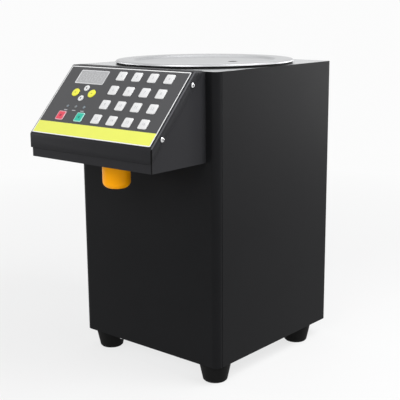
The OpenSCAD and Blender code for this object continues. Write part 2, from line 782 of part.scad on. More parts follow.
module pump_cover() {
    color([0.68, 0.69, 0.71]) difference() {
        from_x(housing_x - cover_t, cover_t) housing_outline();
        for (z = [pump_z, pump_z + gear_spread])
            rod_x(housing_x - shaft_in - shaft_end_gap, pump_y, z, shaft_r + run_gap, shaft_in + 1);
        for (p = pump_screw_at) rod_x(housing_x - cover_t - 1, p[0], p[1], screw_r + fit, cover_t + 2);
    }
}
module pump_screws() {
    head_x = housing_x - cover_t - pump_screw_head[1];
    color("silver") for (p = pump_screw_at) difference() {
        union() {
            rod_x(head_x, p[0], p[1], pump_screw_head[0], pump_screw_head[1]);
            rod_x(housing_x - cover_t, p[0], p[1], screw_r, cover_t + housing_len + bracket_t - fit);
        }
        translate([head_x - 1, p[0], p[1]]) rotate([0, 90, 0])
            cylinder(r = pump_screw_hex[0], h = pump_screw_hex[1] + 1, $fn = 6);
    }
}
module motor_bracket() {
    color([0.45, 0.46, 0.48]) difference() {
        union() {
            from_x(bracket_x - bracket_t, bracket_t) translate([pump_y - bracket_half, floor_z])
                square([2 * bracket_half, port_z + pump_screw_out[1] + bracket_over - floor_z]);
            box([bracket_x - bracket_t, pump_y - bracket_half, floor_z],
                [bracket_x + bracket_foot, pump_y + bracket_half, floor_z + bracket_t]);
        }
        rod_x(bracket_x - bracket_t - 1, pump_y, pump_z, motor_boss_r + fit, bracket_t + 2);
        for (p = pump_screw_at) rod_x(bracket_x - bracket_t - 1, p[0], p[1], screw_r + fit, bracket_t + 2);
    }
}
module motor_body() {
    color([0.2, 0.2, 0.21]) difference() {
        union() {
            rod_x(bracket_x, pump_y, pump_z, motor_r, motor_len);
            rod_x(bracket_x + motor_len, pump_y, pump_z, motor_cap[0], motor_cap[1]);
            rod_x(bracket_x - bracket_t, pump_y, pump_z, motor_boss_r, bracket_t + 1);
        }
        rod_x(bracket_x - bracket_t - 1, pump_y, pump_z, shaft_r + run_gap, motor_neck + bracket_t + 1);
    }
}
module inlet_hose() {
    color([0.85, 0.87, 0.86]) tube(smooth(inlet_hose_route, hose_steps), hose_r, hose_bore_r, hose_sides);
}
module outlet_hose() {
    color([0.85, 0.87, 0.86]) tube(smooth(outlet_hose_route, hose_steps), hose_r, hose_bore_r, hose_sides);
}
module clamp_ring() {
    inner = hose_r + clamp_fit;
    difference() {
        union() {
            cylinder(r = inner + clamp_t, h = clamp_w);
            translate([inner, -clamp_lug[1] / 2, 0]) cube([clamp_lug[0], clamp_lug[1], clamp_w]);
        }
        translate([0, 0, -1]) cylinder(r = inner, h = clamp_w + 2);
    }
}
module hose_clamps() {
    color("silver") {
        translate([0, tank_y, tank_z - spigot_collar_h - clamp_off - clamp_w]) clamp_ring();
        translate([port_x, port_in_y - clamp_off - clamp_w, port_z]) rotate([-90, 0, 0]) clamp_ring();
        translate([port_x, port_out_y + clamp_off, port_z]) rotate([-90, 0, 0]) clamp_ring();
        translate([0, hood_y, strap_z + collar_h + 2]) rotate([0, 0, 180]) clamp_ring();
    }
}

// ---- Control box ----

// Height of the slant's line at y, moved down by a distance
function slant_z(y, down) = fold_z + (y - fold_y) * tan(slant) - down;

module cover_screw_spots() {
    for (s = [-1, 1], v = screw_up) on_slant()
        translate([s * box_w / 2, v, -screw_depth]) rotate([0, s * 90, 0]) children();
}
module control_box() {
    low_y = fold_y + box_in;
    ledge_z = top_z - ledge_drop;
    slant_down = box_in / cos(slant);
    ledge_y = fold_y + (ledge_z - fold_z + slant_down) / tan(slant);
    side = [[low_y, box_z], [front_y, box_z], [front_y, ledge_z], [ledge_y, ledge_z],
            [low_y, slant_z(low_y, slant_down)]];
    color([0.14, 0.14, 0.15]) difference() {
        union() {
            for (s = [-1, 1]) translate([s * (box_half - sheet / 2), 0, 0]) along_x(sheet) polygon(side);
            box([-box_half, low_y, box_z], [box_half, front_y, box_z + sheet]);
            box([-box_half, low_y, box_z], [box_half, low_y + sheet, slant_z(low_y, slant_down) - 1]);
            box([-box_half, ledge_y, ledge_z - sheet], [box_half, front_y, ledge_z]);
            // Flanges that lie against the cabinet's front
            for (s = [0, 1]) mirror([s, 0, 0])
                box([box_half - box_flange, front_y - sheet, box_z], [box_half, front_y, ledge_z]);
            box([-box_half, front_y - sheet, box_z], [box_half, front_y, box_z + box_flange]);
            // Strap that carries the hinge pin and the outlet tube
            for (s = [-1, 1]) translate([s * (strap_x + sheet / 2), 0, 0]) along_x(sheet)
                translate([strap_y[0], box_z]) square([strap_y[1] - strap_y[0], strap_z - box_z]);
            box([-strap_x - sheet, strap_bridge_y[0], strap_z - sheet],
                [strap_x + sheet, strap_bridge_y[1], strap_z]);
        }
        translate([0, hood_hole_y, box_z - 1]) cylinder(r = hood_hole_r, h = sheet + 2);
        translate([0, hood_y, strap_z - 2 * sheet]) cylinder(r = tube_r + fit, h = 3 * sheet);
        rod_x(-strap_x - 2 * sheet, pin_y, pin_z, pin_r + run_gap, 2 * strap_x + 4 * sheet);
        cover_screw_spots() translate([0, 0, -cover_screw_len])
            cylinder(r = screw_r + fit, h = cover_screw_len);
    }
}
module panel_cover() {
    rear_z = slant_z(cover_rear_y, cover_steep);
    lip_z = fold_z - cover_steep;
    skin_down = sheet / cos(slant);
    skin = [
        [fold_y, lip_z], [fold_y, fold_z], [crest_y, crest_z], [cover_rear_y, crest_z],
        [cover_rear_y, crest_z - sheet], [crest_y + sheet * tan(slant / 2), crest_z - sheet],
        [fold_y + sheet, slant_z(fold_y + sheet, skin_down)], [fold_y + sheet, lip_z]
    ];
    flange = [[fold_y, lip_z], [fold_y, fold_z], [crest_y, crest_z], [cover_rear_y, crest_z],
              [cover_rear_y, rear_z]];
    color([0.15, 0.15, 0.16]) difference() {
        union() {
            along_x(box_w) polygon(skin);
            for (s = [-1, 1]) translate([s * (box_w - sheet) / 2, 0, 0]) along_x(sheet) polygon(flange);
            // Posts that carry the control board
            for (p = post_at) on_slant() translate([p[0], p[1], -board_depth])
                cylinder(r = post_r, h = board_depth - sheet / 2);
        }
        on_slant() translate([cutout[0][0], cutout[0][1], -2 * sheet])
            cube([cutout[1][0] - cutout[0][0], cutout[1][1] - cutout[0][1], 4 * sheet]);
        cover_screw_spots() translate([0, 0, -2 * sheet]) cylinder(r = screw_r + fit, h = 4 * sheet);
    }
}
module cover_screws() {
    color("silver") cover_screw_spots() {
        rotate_extrude() polygon([
            [0, 0], [screw_head_r, 0], [screw_head_r, screw_head_h / 3],
            [screw_head_r - 0.8, screw_head_h - 0.4], [screw_head_r - 1.4, screw_head_h],
            [screw_recess_r, screw_head_h], [screw_recess_r, screw_head_h - screw_recess_h],
            [0, screw_head_h - screw_recess_h]
        ]);
        translate([0, 0, -cover_screw_len]) cylinder(r = screw_r, h = cover_screw_len + 0.1);
    }
}
module square_hole() { rounded_rect(key_size + 2 * key_gap, key_size + 2 * key_gap, key_round + key_gap); }

// Every opening of the printed panel
module panel_holes() {
    for (k = [1:dose_count]) translate(dose_at(k)) square_hole();
    for (p = command_key_at) translate(p) square_hole();
    for (p = setting_key_at) translate(p) circle(round_key_r + key_gap);
    for (p = arrow_key_at) translate(p) circle(arrow_key_r + key_gap);
    for (p = lamp_at) translate(p) circle(lamp_r + fit);
    translate(display_at) rounded_rect(display_w + 2 * fit, display_h + 2 * fit, display_round + fit);
}
module key_panel() {
    color([0.27, 0.27, 0.28]) on_slant() linear_extrude(panel_t) difference() {
        translate([0, panel_v + panel_h / 2]) rounded_rect(panel_w, panel_h, panel_round);
        panel_holes();
    }
}
module display_window() {
    color([0.55, 0.56, 0.55]) on_slant()
        translate([display_at[0], display_at[1], panel_t + display_rise - window_t])
            linear_extrude(window_t) rounded_rect(display_w, display_h, display_round);
}
module tact_spots() {
    for (k = [1:dose_count]) translate(dose_at(k)) children();
    for (p = concat(command_key_at, setting_key_at, arrow_key_at)) translate(p) children();
}
module control_board() {
    face = -board_depth;
    window_low = panel_t + display_rise - window_t;
    color([0.1, 0.35, 0.2]) on_slant() {
        translate([-board_w / 2, board_v - board_h / 2, face - board_t]) cube([board_w, board_h, board_t]);
        tact_spots() {
            translate([-tact_side / 2, -tact_side / 2, face]) cube([tact_side, tact_side, tact_h]);
            translate([0, 0, face + tact_h]) cylinder(r = tact_button_r, h = tact_button_h);
        }
        // Digit block under the display window, indicator lamps and the parts behind the board
        translate([display_at[0], display_at[1], face])
            linear_extrude(window_low - fit - face) square([display_w - 2, display_h - 3], center = true);
        for (p = lamp_at) translate([p[0], p[1], face]) cylinder(r = lamp_r, h = board_depth + panel_t);
        translate([board_chip_at[0], board_chip_at[1], face - board_t - board_chip[2]])
            cube(board_chip + [0, 0, fit]);
        translate([board_socket_at[0], board_socket_at[1], face - board_t - board_socket[2]])
            cube(board_socket + [0, 0, fit]);
    }
}

// ---- Keys ----

// One key: the cap stands out of the panel, a flange holds it behind, a stem meets the switch
module key_at(p, proud) {
    on_slant() translate([p[0], p[1], 0]) {
        translate([0, 0, -touch_gap - fit]) linear_extrude(proud + touch_gap + fit) children(0);
        translate([0, 0, -touch_gap - key_flange_h]) linear_extrude(key_flange_h) children(1);
        translate([0, 0, stem_z]) cylinder(r = stem_r, h = -touch_gap - key_flange_h / 2 - stem_z);
    }
}
module square_key(p) {
    key_at(p, panel_t + key_proud) {
        rounded_rect(key_size, key_size, key_round);
        rounded_rect(key_size + 2 * key_flange, key_size + 2 * key_flange, key_round);
    }
}
module round_key(p, r, flange) {
    key_at(p, panel_t + key_proud) {
        circle(r);
        circle(r + flange);
    }
}
module setting_key_left() { color([0.95, 0.9, 0.1]) round_key(setting_key_at[0], round_key_r, key_flange); }
module setting_key_right() { color([0.95, 0.9, 0.1]) round_key(setting_key_at[1], round_key_r, key_flange); }
module arrow_key_up() { color("white") round_key(arrow_key_at[0], arrow_key_r, arrow_key_flange); }
module arrow_key_down() { color("white") round_key(arrow_key_at[1], arrow_key_r, arrow_key_flange); }
module stop_key() { color([0.85, 0.2, 0.2]) square_key(command_key_at[0]); }
module start_key() { color([0.1, 0.6, 0.45]) square_key(command_key_at[1]); }
module dose_key(k) { color([0.93, 0.93, 0.92]) square_key(dose_at(k)); }

// ---- Pouring hood and its switch ----

module trigger_hood() {
    outer = [for (a = [0:9:90]) [
        hood_mouth_r + (hood_r - hood_mouth_r) * sin(a), hood_z + hood_round * (1 - cos(a))]];
    inner = [for (a = [90:-9:0]) [
        hood_mouth_r + (hood_r - hood_wall - hood_mouth_r) * sin(a),
        hood_z + hood_wall + (hood_round - hood_wall) * (1 - cos(a))]];
    color([0.98, 0.6, 0.05]) difference() {
        union() {
            translate([0, hood_y, 0]) rotate_extrude() polygon(concat(
                outer, [[hood_r, hood_top_z], [hood_r - hood_wall, hood_top_z]], inner));
            for (s = [-1, 1]) translate([s * ear_x, 0, 0]) along_x(ear_t) hinge_ear();
            // Tab that works the switch
            from_x(ear_x - ear_t / 2, ear_t) {
                translate([tab_tip[0] - tab_w / 2, pin_z]) square([tab_w, tab_tip[1] - pin_z]);
                translate(tab_tip) circle(tab_w / 2);
            }
        }
        rod_x(-strap_x, pin_y, pin_z, pin_r + run_gap, 2 * strap_x);
    }
}
module hinge_ear() {
    low = box_z + sheet + ear_up;
    translate([pin_y, pin_z]) circle(ear_r);
    translate([pin_y - ear_r, low]) square([2 * ear_r - 3, pin_z - low]);
    translate([hood_y + ear_root, low]) square([pin_y - hood_y - ear_root, hood_top_z - low]);
}
module trigger_pin() {
    half = strap_x + sheet + pin_play;
    color("silver") {
        rod_x(-half, pin_y, pin_z, pin_r, 2 * half);
        for (x = [-half - pin_head[1], half]) rod_x(x, pin_y, pin_z, pin_head[0], pin_head[1]);
    }
}
module trigger_spring() {
    half = coil_turns * coil_pitch / 2;
    steps = 12;
    turn = 360 / steps;
    last = coil_turns * steps + steps / 4;
    coil = [for (i = [0:last])
        [-half + coil_pitch * i / steps, pin_y + coil_r * cos(turn * i), pin_z + coil_r * sin(turn * i)]];
    // One leg lies behind the hood's rim, the other reaches in under the strap
    hood_leg = [-half, pin_y + 1.4, hood_top_z - 2];
    strap_leg = [coil[last][0], strap_bridge_y[1] - 1.5, strap_z - sheet - coil_wire_r - touch_gap];
    color([0.75, 0.76, 0.78]) tube(concat([hood_leg], coil, [strap_leg]), coil_wire_r, 0, 6);
}
module outlet_tube() {
    color([0.8, 0.81, 0.83]) translate([0, hood_y, 0]) difference() {
        union() {
            translate([0, 0, tube_end_z]) cylinder(r = tube_r, h = tube_top_z - tube_end_z);
            // A collar above the strap and a nut below it
            translate([0, 0, strap_z]) cylinder(r = collar_r, h = collar_h);
            translate([0, 0, strap_z - sheet - tube_nut_h]) cylinder(r = collar_r, h = tube_nut_h, $fn = 6);
        }
        translate([0, 0, tube_end_z - 1]) cylinder(r = tube_r - tube_wall, h = tube_top_z - tube_end_z + 2);
    }
}
module microswitch() {
    color([0.12, 0.12, 0.13]) {
        translate([micro_x - micro_size[0] / 2, micro_y, micro_z]) cube(micro_size);
        for (up = micro_blade_up)
            translate([micro_x - micro_blade[0] / 2, micro_y - micro_blade[1],
                       micro_z + up - micro_blade[2] / 2])
                cube(micro_blade + [0, fit, 0]);
        translate([micro_x - micro_button[0] / 2, micro_y + micro_size[1] - fit, micro_z + micro_button_up])
            cube(micro_button + [0, fit, 0]);
    }
}
module switch_lever() {
    color([0.8, 0.8, 0.78]) from_x(micro_x - lever_w / 2, lever_w)
        translate(lever_pivot) rotate(-lever_lean) {
            circle(lever_hub_r);
            translate([-lever_t / 2, 0]) square([lever_t, lever_len]);
        }
}

// ---- Power ----

module power_supply() {
    color([0.72, 0.73, 0.74]) translate(supply_at) {
        difference() {
            cube(supply_size);
            for (k = [0:supply_slots - 1])
                translate([supply_slot_at[0] + k * supply_slot_pitch, supply_slot_at[1], supply_size[2] - 1])
                    cube(supply_slot + [0, 0, 1]);
        }
        translate([-supply_block[0], stand_in[1], supply_block_up]) cube(supply_block + [fit, 0, 0]);
        for (x = [stand_in[0], supply_size[0] - stand_in[0]], y = [stand_in[1], supply_size[1] - stand_in[2]])
            translate([x, y, -supply_stand[1]]) cylinder(r = supply_stand[0], h = supply_stand[1]);
    }
}
module power_inlet() {
    front = rear_y - inlet_depth;
    color([0.1, 0.1, 0.1]) difference() {
        union() {
            translate([inlet_x, front, inlet_z]) rotate([-90, 0, 0]) linear_extrude(inlet_depth + 1)
                square(inlet_body, center = true);
            translate([inlet_x, rear_y, inlet_z]) rotate([-90, 0, 0]) linear_extrude(inlet_bezel)
                rounded_rect(inlet_w, inlet_h, inlet_round);
        }
        difference() {
            translate([inlet_x, rear_y + inlet_bezel - socket_depth, socket_z]) rotate([-90, 0, 0])
                linear_extrude(socket_depth + 1) socket_outline();
            // Three blades stay in the socket
            for (p = blade_at)
                translate([inlet_x + p[0] - socket_blade[0] / 2, rear_y + inlet_bezel - socket_depth - 1,
                           socket_z + p[1] - socket_blade[2] / 2])
                    cube(socket_blade);
        }
        translate([inlet_x, rear_y + inlet_bezel - rocker_well, rocker_z]) rotate([-90, 0, 0])
            linear_extrude(rocker_well + 1)
                square([rocker_size[0] + 2 * rocker_gap, rocker_size[1] + 2 * rocker_gap], center = true);
    }
}
module socket_outline() {
    w = socket_size[0] / 2;
    h = socket_size[1] / 2;
    cut = socket_cut;
    polygon([[-w, -h + cut], [-w + cut, -h], [w - cut, -h], [w, -h + cut], [w, h], [-w, h]]);
}
module power_rocker() {
    w = rocker_size[0] / 2;
    color([0.7, 0.1, 0.1]) translate([inlet_x, rocker_y, rocker_z - rocker_size[1] / 2])
        rotate([0, 0, -rocker_lean]) linear_extrude(rocker_size[1])
            polygon([[-w + 2, -rocker_sink], [w - 2, -rocker_sink], [w - 0.8, rocker_rise],
                     [0, rocker_waist], [-w + 0.8, rocker_rise]]);
}

front_shell();
body_wrap();
base_plate();
top_plate();
base_screws();
feet();
foot_screws();
tank();
tank_gasket();
lid();
heater_pad();
thermostat();
inlet_hose();
outlet_hose();
hose_clamps();
pump_housing();
pump_cover();
pump_screws();
drive_gear();
idler_gear();
motor_body();
motor_shaft();
motor_bracket();
control_box();
panel_cover();
cover_screws();
key_panel();
display_window();
control_board();
trigger_hood();
trigger_pin();
trigger_spring();
outlet_tube();
microswitch();
switch_lever();
power_supply();
power_inlet();
power_rocker();
setting_key_left();
setting_key_right();
arrow_key_up();
arrow_key_down();
stop_key();
start_key();
for (k = [1:dose_count])
    dose_key(k);
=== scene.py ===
"""Looks of a countertop syrup dispenser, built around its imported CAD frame. Metres, +Z up, front -Y."""

import json
import math

import bmesh
import bpy
from mathutils import Matrix, Vector

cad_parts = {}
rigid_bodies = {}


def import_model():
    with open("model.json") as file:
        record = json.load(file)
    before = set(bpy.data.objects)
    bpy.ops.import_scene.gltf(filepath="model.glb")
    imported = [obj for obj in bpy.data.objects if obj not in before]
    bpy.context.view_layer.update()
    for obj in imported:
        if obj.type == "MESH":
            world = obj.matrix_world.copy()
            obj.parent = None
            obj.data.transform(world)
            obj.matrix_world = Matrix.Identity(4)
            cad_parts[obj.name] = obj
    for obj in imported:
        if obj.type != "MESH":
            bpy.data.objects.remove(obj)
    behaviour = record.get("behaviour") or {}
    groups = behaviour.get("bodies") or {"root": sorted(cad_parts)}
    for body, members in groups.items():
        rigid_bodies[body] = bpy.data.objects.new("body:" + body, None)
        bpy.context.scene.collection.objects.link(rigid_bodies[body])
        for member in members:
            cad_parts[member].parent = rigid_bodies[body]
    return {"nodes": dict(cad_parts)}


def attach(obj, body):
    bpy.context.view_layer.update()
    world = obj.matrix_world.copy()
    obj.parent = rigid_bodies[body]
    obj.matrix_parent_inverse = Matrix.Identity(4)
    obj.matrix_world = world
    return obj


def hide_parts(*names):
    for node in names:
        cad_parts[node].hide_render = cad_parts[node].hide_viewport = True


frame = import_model()
for spare in [o for o in bpy.data.objects if o.name in ("Cube", "Light", "Camera")]:
    bpy.data.objects.remove(spare)
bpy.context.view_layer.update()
MM = 0.001

# ---------------------------------------------------------------- sizes shared with the frame
FRONT_Y = -76.5 * MM        # plane of the cabinet's front panel
REAR_Y = 169.5 * MM         # plane of its rear wall
TOP_Z = 395 * MM            # surface of the top plate
TANK_FORWARD = 2 * MM       # the tank and lid stand this far forward of the cabinet's middle
AXIS_Y = (FRONT_Y + REAR_Y) / 2 - TANK_FORWARD

FOLD = Vector((0, -173.5 * MM, 315 * MM))     # lower edge of the cover's slanted face
CREST = Vector((0, -97.5 * MM, 396.6 * MM))   # upper edge of the slanted face
SLANT = math.atan2(CREST.z - FOLD.z, CREST.y - FOLD.y)
ON_SLANT = Matrix.Translation(FOLD) @ Matrix.Rotation(SLANT, 4, "X")   # x across, y up the slant, z out of it
COVER_HALF = 105.5 * MM     # from the middle out to the cover's side
COVER_DEPTH = 12 * MM       # of the front lip and side flanges, square to the slant
COVER_SHEET = 1.15 * MM
BOX_IN = 2.0 * MM           # the control box lies this far inside the cover
SCREW_UP = (18.5 * MM, 96.7 * MM)             # the side screws' places, up the slant from the fold
SCREW_IN = 7 * MM                             # and in from the slanted face

PANEL_W, PANEL_H = 205 * MM, 107 * MM
PANEL_LOW = 2.2 * MM        # the panel's lower edge, up the slant from the fold
PANEL_T = 0.8 * MM
INK_T = 0.05 * MM           # height of a printed layer
KEY_TOP = 1.6 * MM          # a key's face, out from the slanted face
KEY_SIDE, KEY_CORNER = 13.3 * MM, 1.6 * MM
DOSE_COLUMNS, DOSE_KEYS = 4, 16
DOSE_FIRST = (-4.2, 97)     # middles on the panel, in millimetres across and up the slant
DOSE_PITCH = (26.4, 22)
SETTING_KEY_AT = {"left": (-66.8, 67.4), "right": (-37.5, 67.4)}
ARROW_KEY_AT = {"up": (-51.7, 75.1), "down": (-51.7, 59.2)}
STOP_KEY_AT, START_KEY_AT = (-68.4, 31), (-34.6, 31)
LAMP_MIDDLE, LAMP_PITCH = (-51.3, 46), 14.9
DISPLAY_AT = Vector((-54.2 * MM, 92.6 * MM))
DISPLAY_W, DISPLAY_H = 51 * MM, 21.6 * MM

# ---------------------------------------------------------------- camera and studio
PHOTO_PX, FOCAL_PX = 400, 894.5               # the photograph's width and focal length, in its pixels
SENSOR = 36.0                                 # its sensor's width, in millimetres
CAMERA_AT = Vector((0.7862, -0.8870, 0.4752))
CAMERA_YAW, CAMERA_PITCH, CAMERA_ROLL = map(math.radians, (40.520, 12.492, -0.449))

BACKDROP = 0.97             # the pale tone of what lies behind the dispenser
FLOOR = 0.72                # the tone of the floor under the lamps
GLOW = 0.75                 # share of the backdrop's tone in the floor near the dispenser, for the camera
FADE_FROM, FADE_OVER = 0.5, 0.9               # the floor turns into backdrop from here, over this distance
SKY_COLOR, SKY_LIGHT = (0.97, 0.98, 1.0), 0.4


# ---------------------------------------------------------------- shader wiring
class Wire:
    """One output of a shader node. Sums, products and powers of wires become Math nodes."""

    def __init__(self, wiring, socket):
        self.wiring, self.socket = wiring, socket

    def beside(self, name):
        """Another output of the same node."""
        return Wire(self.wiring, self.socket.node.outputs[name])

    def math(self, operation, *rest, clamp=False):
        return self.wiring.node("Math", dict(operation=operation, use_clamp=clamp), self, *rest)

    def clamped(self):
        return self.math("ADD", 0.0, clamp=True)

    def __add__(self, other):
        return self.math("ADD", other)

    def __sub__(self, other):
        return self.math("SUBTRACT", other)

    def __rsub__(self, other):
        return self.math("MULTIPLY_ADD", -1.0, other)

    def __mul__(self, other):
        return self.math("MULTIPLY", other)

    def __truediv__(self, other):
        return self.math("DIVIDE", other)

    def __pow__(self, other):
        return self.math("POWER", other)

    __radd__ = __add__
    __rmul__ = __mul__


class Wiring:
    """The nodes of a material or a world, wired by name."""

    def __init__(self, owner):
        owner.use_nodes = True
        self.tree = owner.node_tree

    def feed(self, slot, item):
        """Links a wire to a socket, or sets the socket to a plain value or colour."""
        if isinstance(item, Wire):
            self.tree.links.new(item.socket, slot)
        elif isinstance(item, (tuple, list)) and len(item) == 3 and len(slot.default_value) == 4:
            slot.default_value = (*item, 1.0)
        else:
            slot.default_value = item

    def node(self, kind, settings, *first, out=0, **named):
        """Adds a node: its settings first, then its sockets by order and by name."""
        made = self.tree.nodes.new("ShaderNode" + kind)
        for key, value in settings.items():
            setattr(made, key, value)
        for slot, item in zip(made.inputs, first):
            self.feed(slot, item)
        for key, item in named.items():
            self.feed(made.inputs[key.replace("_", " ")], item)
        return Wire(self, made.outputs[out])

    def backdrop_rays(self):
        """1 for rays that see the backdrop, straight from the camera or by way of metal or glass."""
        camera = self.node("LightPath", {}, out="Is Camera Ray")
        seen = camera
        for ray in ("Is Glossy Ray", "Is Transmission Ray"):
            seen = seen.math("MAXIMUM", camera.beside(ray))
        return seen


class Finish(Wiring):
    """A material and what feeds its Principled shader."""

    def __init__(self, name, color, roughness, **constants):
        self.material = bpy.data.materials.new(name)
        super().__init__(self.material)
        self.surface = self.tree.nodes["Principled BSDF"]
        self.set(Base_Color=color, Roughness=roughness, **constants)

    def set(self, **values):
        for key, item in values.items():
            self.feed(self.surface.inputs[key.replace("_", " ")], item)

    def place(self, scale=(1, 1, 1), shift=(0, 0, 0)):
        """Object coordinates, moved and stretched."""
        here = self.node("TexCoord", {}, out="Object")
        return self.node("Mapping", dict(vector_type="POINT"), here, Location=shift, Scale=scale)

    def x_and_y(self, where):
        x = self.node("SeparateXYZ", {}, where, out="X")
        return x, x.beside("Y")

    def noise(self, where, scale, detail=2.0, roughness=0.5):
        """Noise from 0 to 1 with so many lumps to the metre."""
        return self.node("TexNoise", {}, Vector=where, Scale=scale, Detail=detail, Roughness=roughness)

    def mix(self, share, low, high):
        """Two colours mixed by a share from 0 to 1."""
        made = self.tree.nodes.new("ShaderNodeMix")
        made.data_type = "RGBA"
        share_slot, low_slot, high_slot = made.inputs[0], made.inputs[6], made.inputs[7]
        self.feed(share_slot, share)
        self.feed(low_slot, low)
        self.feed(high_slot, high)
        return Wire(self, made.outputs[2])

    def bump(self, height, strength, distance):
        self.set(Normal=self.node("Bump", {}, Strength=strength, Distance=distance, Height=height))


def spread(value, low, high):
    """A 0 to 1 wire stretched to run from low to high."""
    return value * (high - low) + low


def dimmed(color, share):
    return tuple(c * share for c in color)


# ---------------------------------------------------------------- kinds of finish
def box_corners(finish, here):
    """Mask for painted shade: 1 along the control box's two upright front corners and 0 elsewhere."""
    width, fade = 1.2 * MM, 0.3 * MM
    x, y = finish.x_and_y(here)
    at_side = ((x * x) ** 0.5 - (COVER_HALF - BOX_IN - width)) / fade
    at_front = (FOLD.y + BOX_IN + width - y) / fade
    return at_side.clamped() * at_front.clamped()


def powder_coat(name, color, roughness=0.42, peel=0.3, painted_shade_share=0.0):
    """Baked powder paint: orange peel about a millimetre wide, with faint cloudy wear, and when asked painted
    shade along the control box's upright front corners.
    """
    f = Finish(name, color, roughness, Specular_IOR_Level=0.05)
    here = f.place()
    peel_height = f.noise(here, 950, detail=1.5, roughness=0.4)
    clouds = f.noise(here, 9, detail=3, roughness=0.6)
    specks = f.noise(here, 2600, detail=1)
    lighter = tuple(c * 1.35 + 0.001 for c in color)
    shade = f.mix((clouds * 0.7 + specks * 0.3).clamped(), color, lighter)
    # Painted shade: the control box's upright front corners are darkened almost to black.
    if painted_shade_share:
        shade = f.mix(box_corners(f, here) * painted_shade_share, shade, (0.0, 0.0, 0.0))
    f.set(Base_Color=shade, Roughness=spread(clouds, roughness - 0.07, roughness + 0.09))
    f.bump(peel_height + specks * 0.25, peel, 0.12 * MM)
    return f


def brushed_sheet(name, color, roughness):
    """Sheet metal brushed from side to side."""
    f = Finish(name, color, roughness, Metallic=1.0)
    across, along = 2600, 14
    lines = f.noise(f.place(scale=(along, across, across)), 1, detail=3, roughness=0.6)
    clouds = f.noise(f.place(), 12)
    f.set(Base_Color=f.mix(lines, dimmed(color, 0.9), color),
          Roughness=spread(lines, roughness - 0.08, roughness + 0.08) + clouds * 0.08 - 0.04)
    f.bump(lines, 0.08, 0.03 * MM)
    return f


def spun_sheet(name, color, roughness):
    """Sheet metal turned on a lathe: fine rings round the tank's axis, and faint smears."""
    f = Finish(name, color, roughness, Metallic=1.0)
    here = f.place(shift=(0, -AXIS_Y, 0))
    x, y = f.x_and_y(here)
    radius = (x * x + y * y) ** 0.5
    rings = f.noise(f.node("CombineXYZ", {}, radius * 1500), 1, detail=3, roughness=0.7)
    wide = f.noise(f.node("CombineXYZ", {}, radius * 130), 1)
    smears = f.noise(here, 22, detail=3, roughness=0.6)
    f.set(Base_Color=f.mix(rings, dimmed(color, 0.88), color),
          Roughness=spread(rings, roughness - 0.07, roughness + 0.07) + smears * 0.12 - 0.06)
    f.bump(rings * 0.5 + wide, 0.14, 0.05 * MM)
    return f


def plain_metal(name, color, roughness, grain=500):
    """Cast, plated or machined metal with small marks."""
    f = Finish(name, color, roughness, Metallic=1.0)
    marks = f.noise(f.place(), grain, detail=3, roughness=0.6)
    f.set(Base_Color=f.mix(marks, dimmed(color, 0.86), color),
          Roughness=spread(marks, roughness - 0.1, roughness + 0.1))
    f.bump(marks, 0.06, 0.03 * MM)
    return f


def moulded(name, color, roughness=0.35, grain=1400, strength=0.08, **constants):
    """Injection-moulded plastic or rubber with a fine surface grain and faint handling marks."""
    f = Finish(name, color, roughness, **constants)
    here = f.place()
    fine = f.noise(here, grain)
    broad = f.noise(here, 35, detail=3, roughness=0.6)
    f.set(Base_Color=f.mix(broad, dimmed(color, 0.94), color),
          Roughness=spread(broad, roughness - 0.06, roughness + 0.06) + fine * 0.06 - 0.03)
    f.bump(fine, strength, 0.05 * MM)
    return f


def printed_film(name, color, roughness=0.38):
    """Screen-printed polyester film with a fine velvet grain."""
    f = Finish(name, color, roughness, Specular_IOR_Level=0.4)
    here = f.place()
    grain = f.noise(here, 3200, roughness=0.6)
    ink = f.noise(here, 60, detail=3, roughness=0.6)
    f.set(Base_Color=f.mix((ink * 0.6 + grain * 0.4).clamped(), dimmed(color, 0.9), color),
          Roughness=spread(ink, roughness - 0.05, roughness + 0.07))
    f.bump(grain, 0.12, 0.03 * MM)
    return f


def weathered_rubber(name, color):
    """Matt rubber with a little dust in its grain."""
    f = Finish(name, color, 0.8, Specular_IOR_Level=0.12)
    here = f.place()
    fine = f.noise(here, 900, detail=3, roughness=0.6)
    dust = f.noise(here, 70, detail=4, roughness=0.65)
    f.set(Base_Color=f.mix((dust * 1.6 - 0.6).clamped(), color, tuple(c + 0.005 for c in color)),
          Roughness=spread(dust, 0.7, 0.9))
    f.bump(fine, 0.2, 0.12 * MM)
    return f


# ---------------------------------------------------------------- finishes
box_black = (0.0185, 0.0185, 0.0202)
black_paint = powder_coat("black_powder_coat", (0.0068, 0.0069, 0.0075))
cover_paint = powder_coat("control_box_powder_coat", box_black)
# The control box's paint, with painted shade on its upright front corners.
box_paint = powder_coat("control_box_paint_painted_shade_at_corners", box_black, painted_shade_share=0.9)
# Painted highlight: a lighter, glossier black on the cover's slanted bends, for the light that these bends
# catch.
slanted_edge_painted_highlight = powder_coat("painted_highlight_on_the_slanted_edges", (0.065, 0.065, 0.07), 0.34, peel=0.15)
# Painted shade: a near-black paint on the cover's upright bends, for the dark line that these corners show.
upright_corner_painted_shade = powder_coat("painted_shade_on_the_upright_corners", (0.003, 0.003, 0.003), 0.4, peel=0.15)
motor_paint = powder_coat("motor_enamel", (0.035, 0.037, 0.042), 0.38, peel=0.15)

top_steel = brushed_sheet("brushed_stainless", (0.54, 0.55, 0.56), 0.34)
lid_steel = spun_sheet("spun_stainless", (0.47, 0.475, 0.485), 0.40)
tank_steel = spun_sheet("tank_stainless", (0.30, 0.305, 0.31), 0.45)
bright_steel = plain_metal("nickel_plated_steel", (0.72, 0.72, 0.73), 0.22)
gear_steel = plain_metal("machined_steel", (0.52, 0.52, 0.53), 0.34, grain=700)
cast_metal = plain_metal("cast_aluminium", (0.58, 0.59, 0.60), 0.48, grain=260)
zinc = plain_metal("zinc_plated_sheet", (0.50, 0.51, 0.53), 0.42, grain=160)

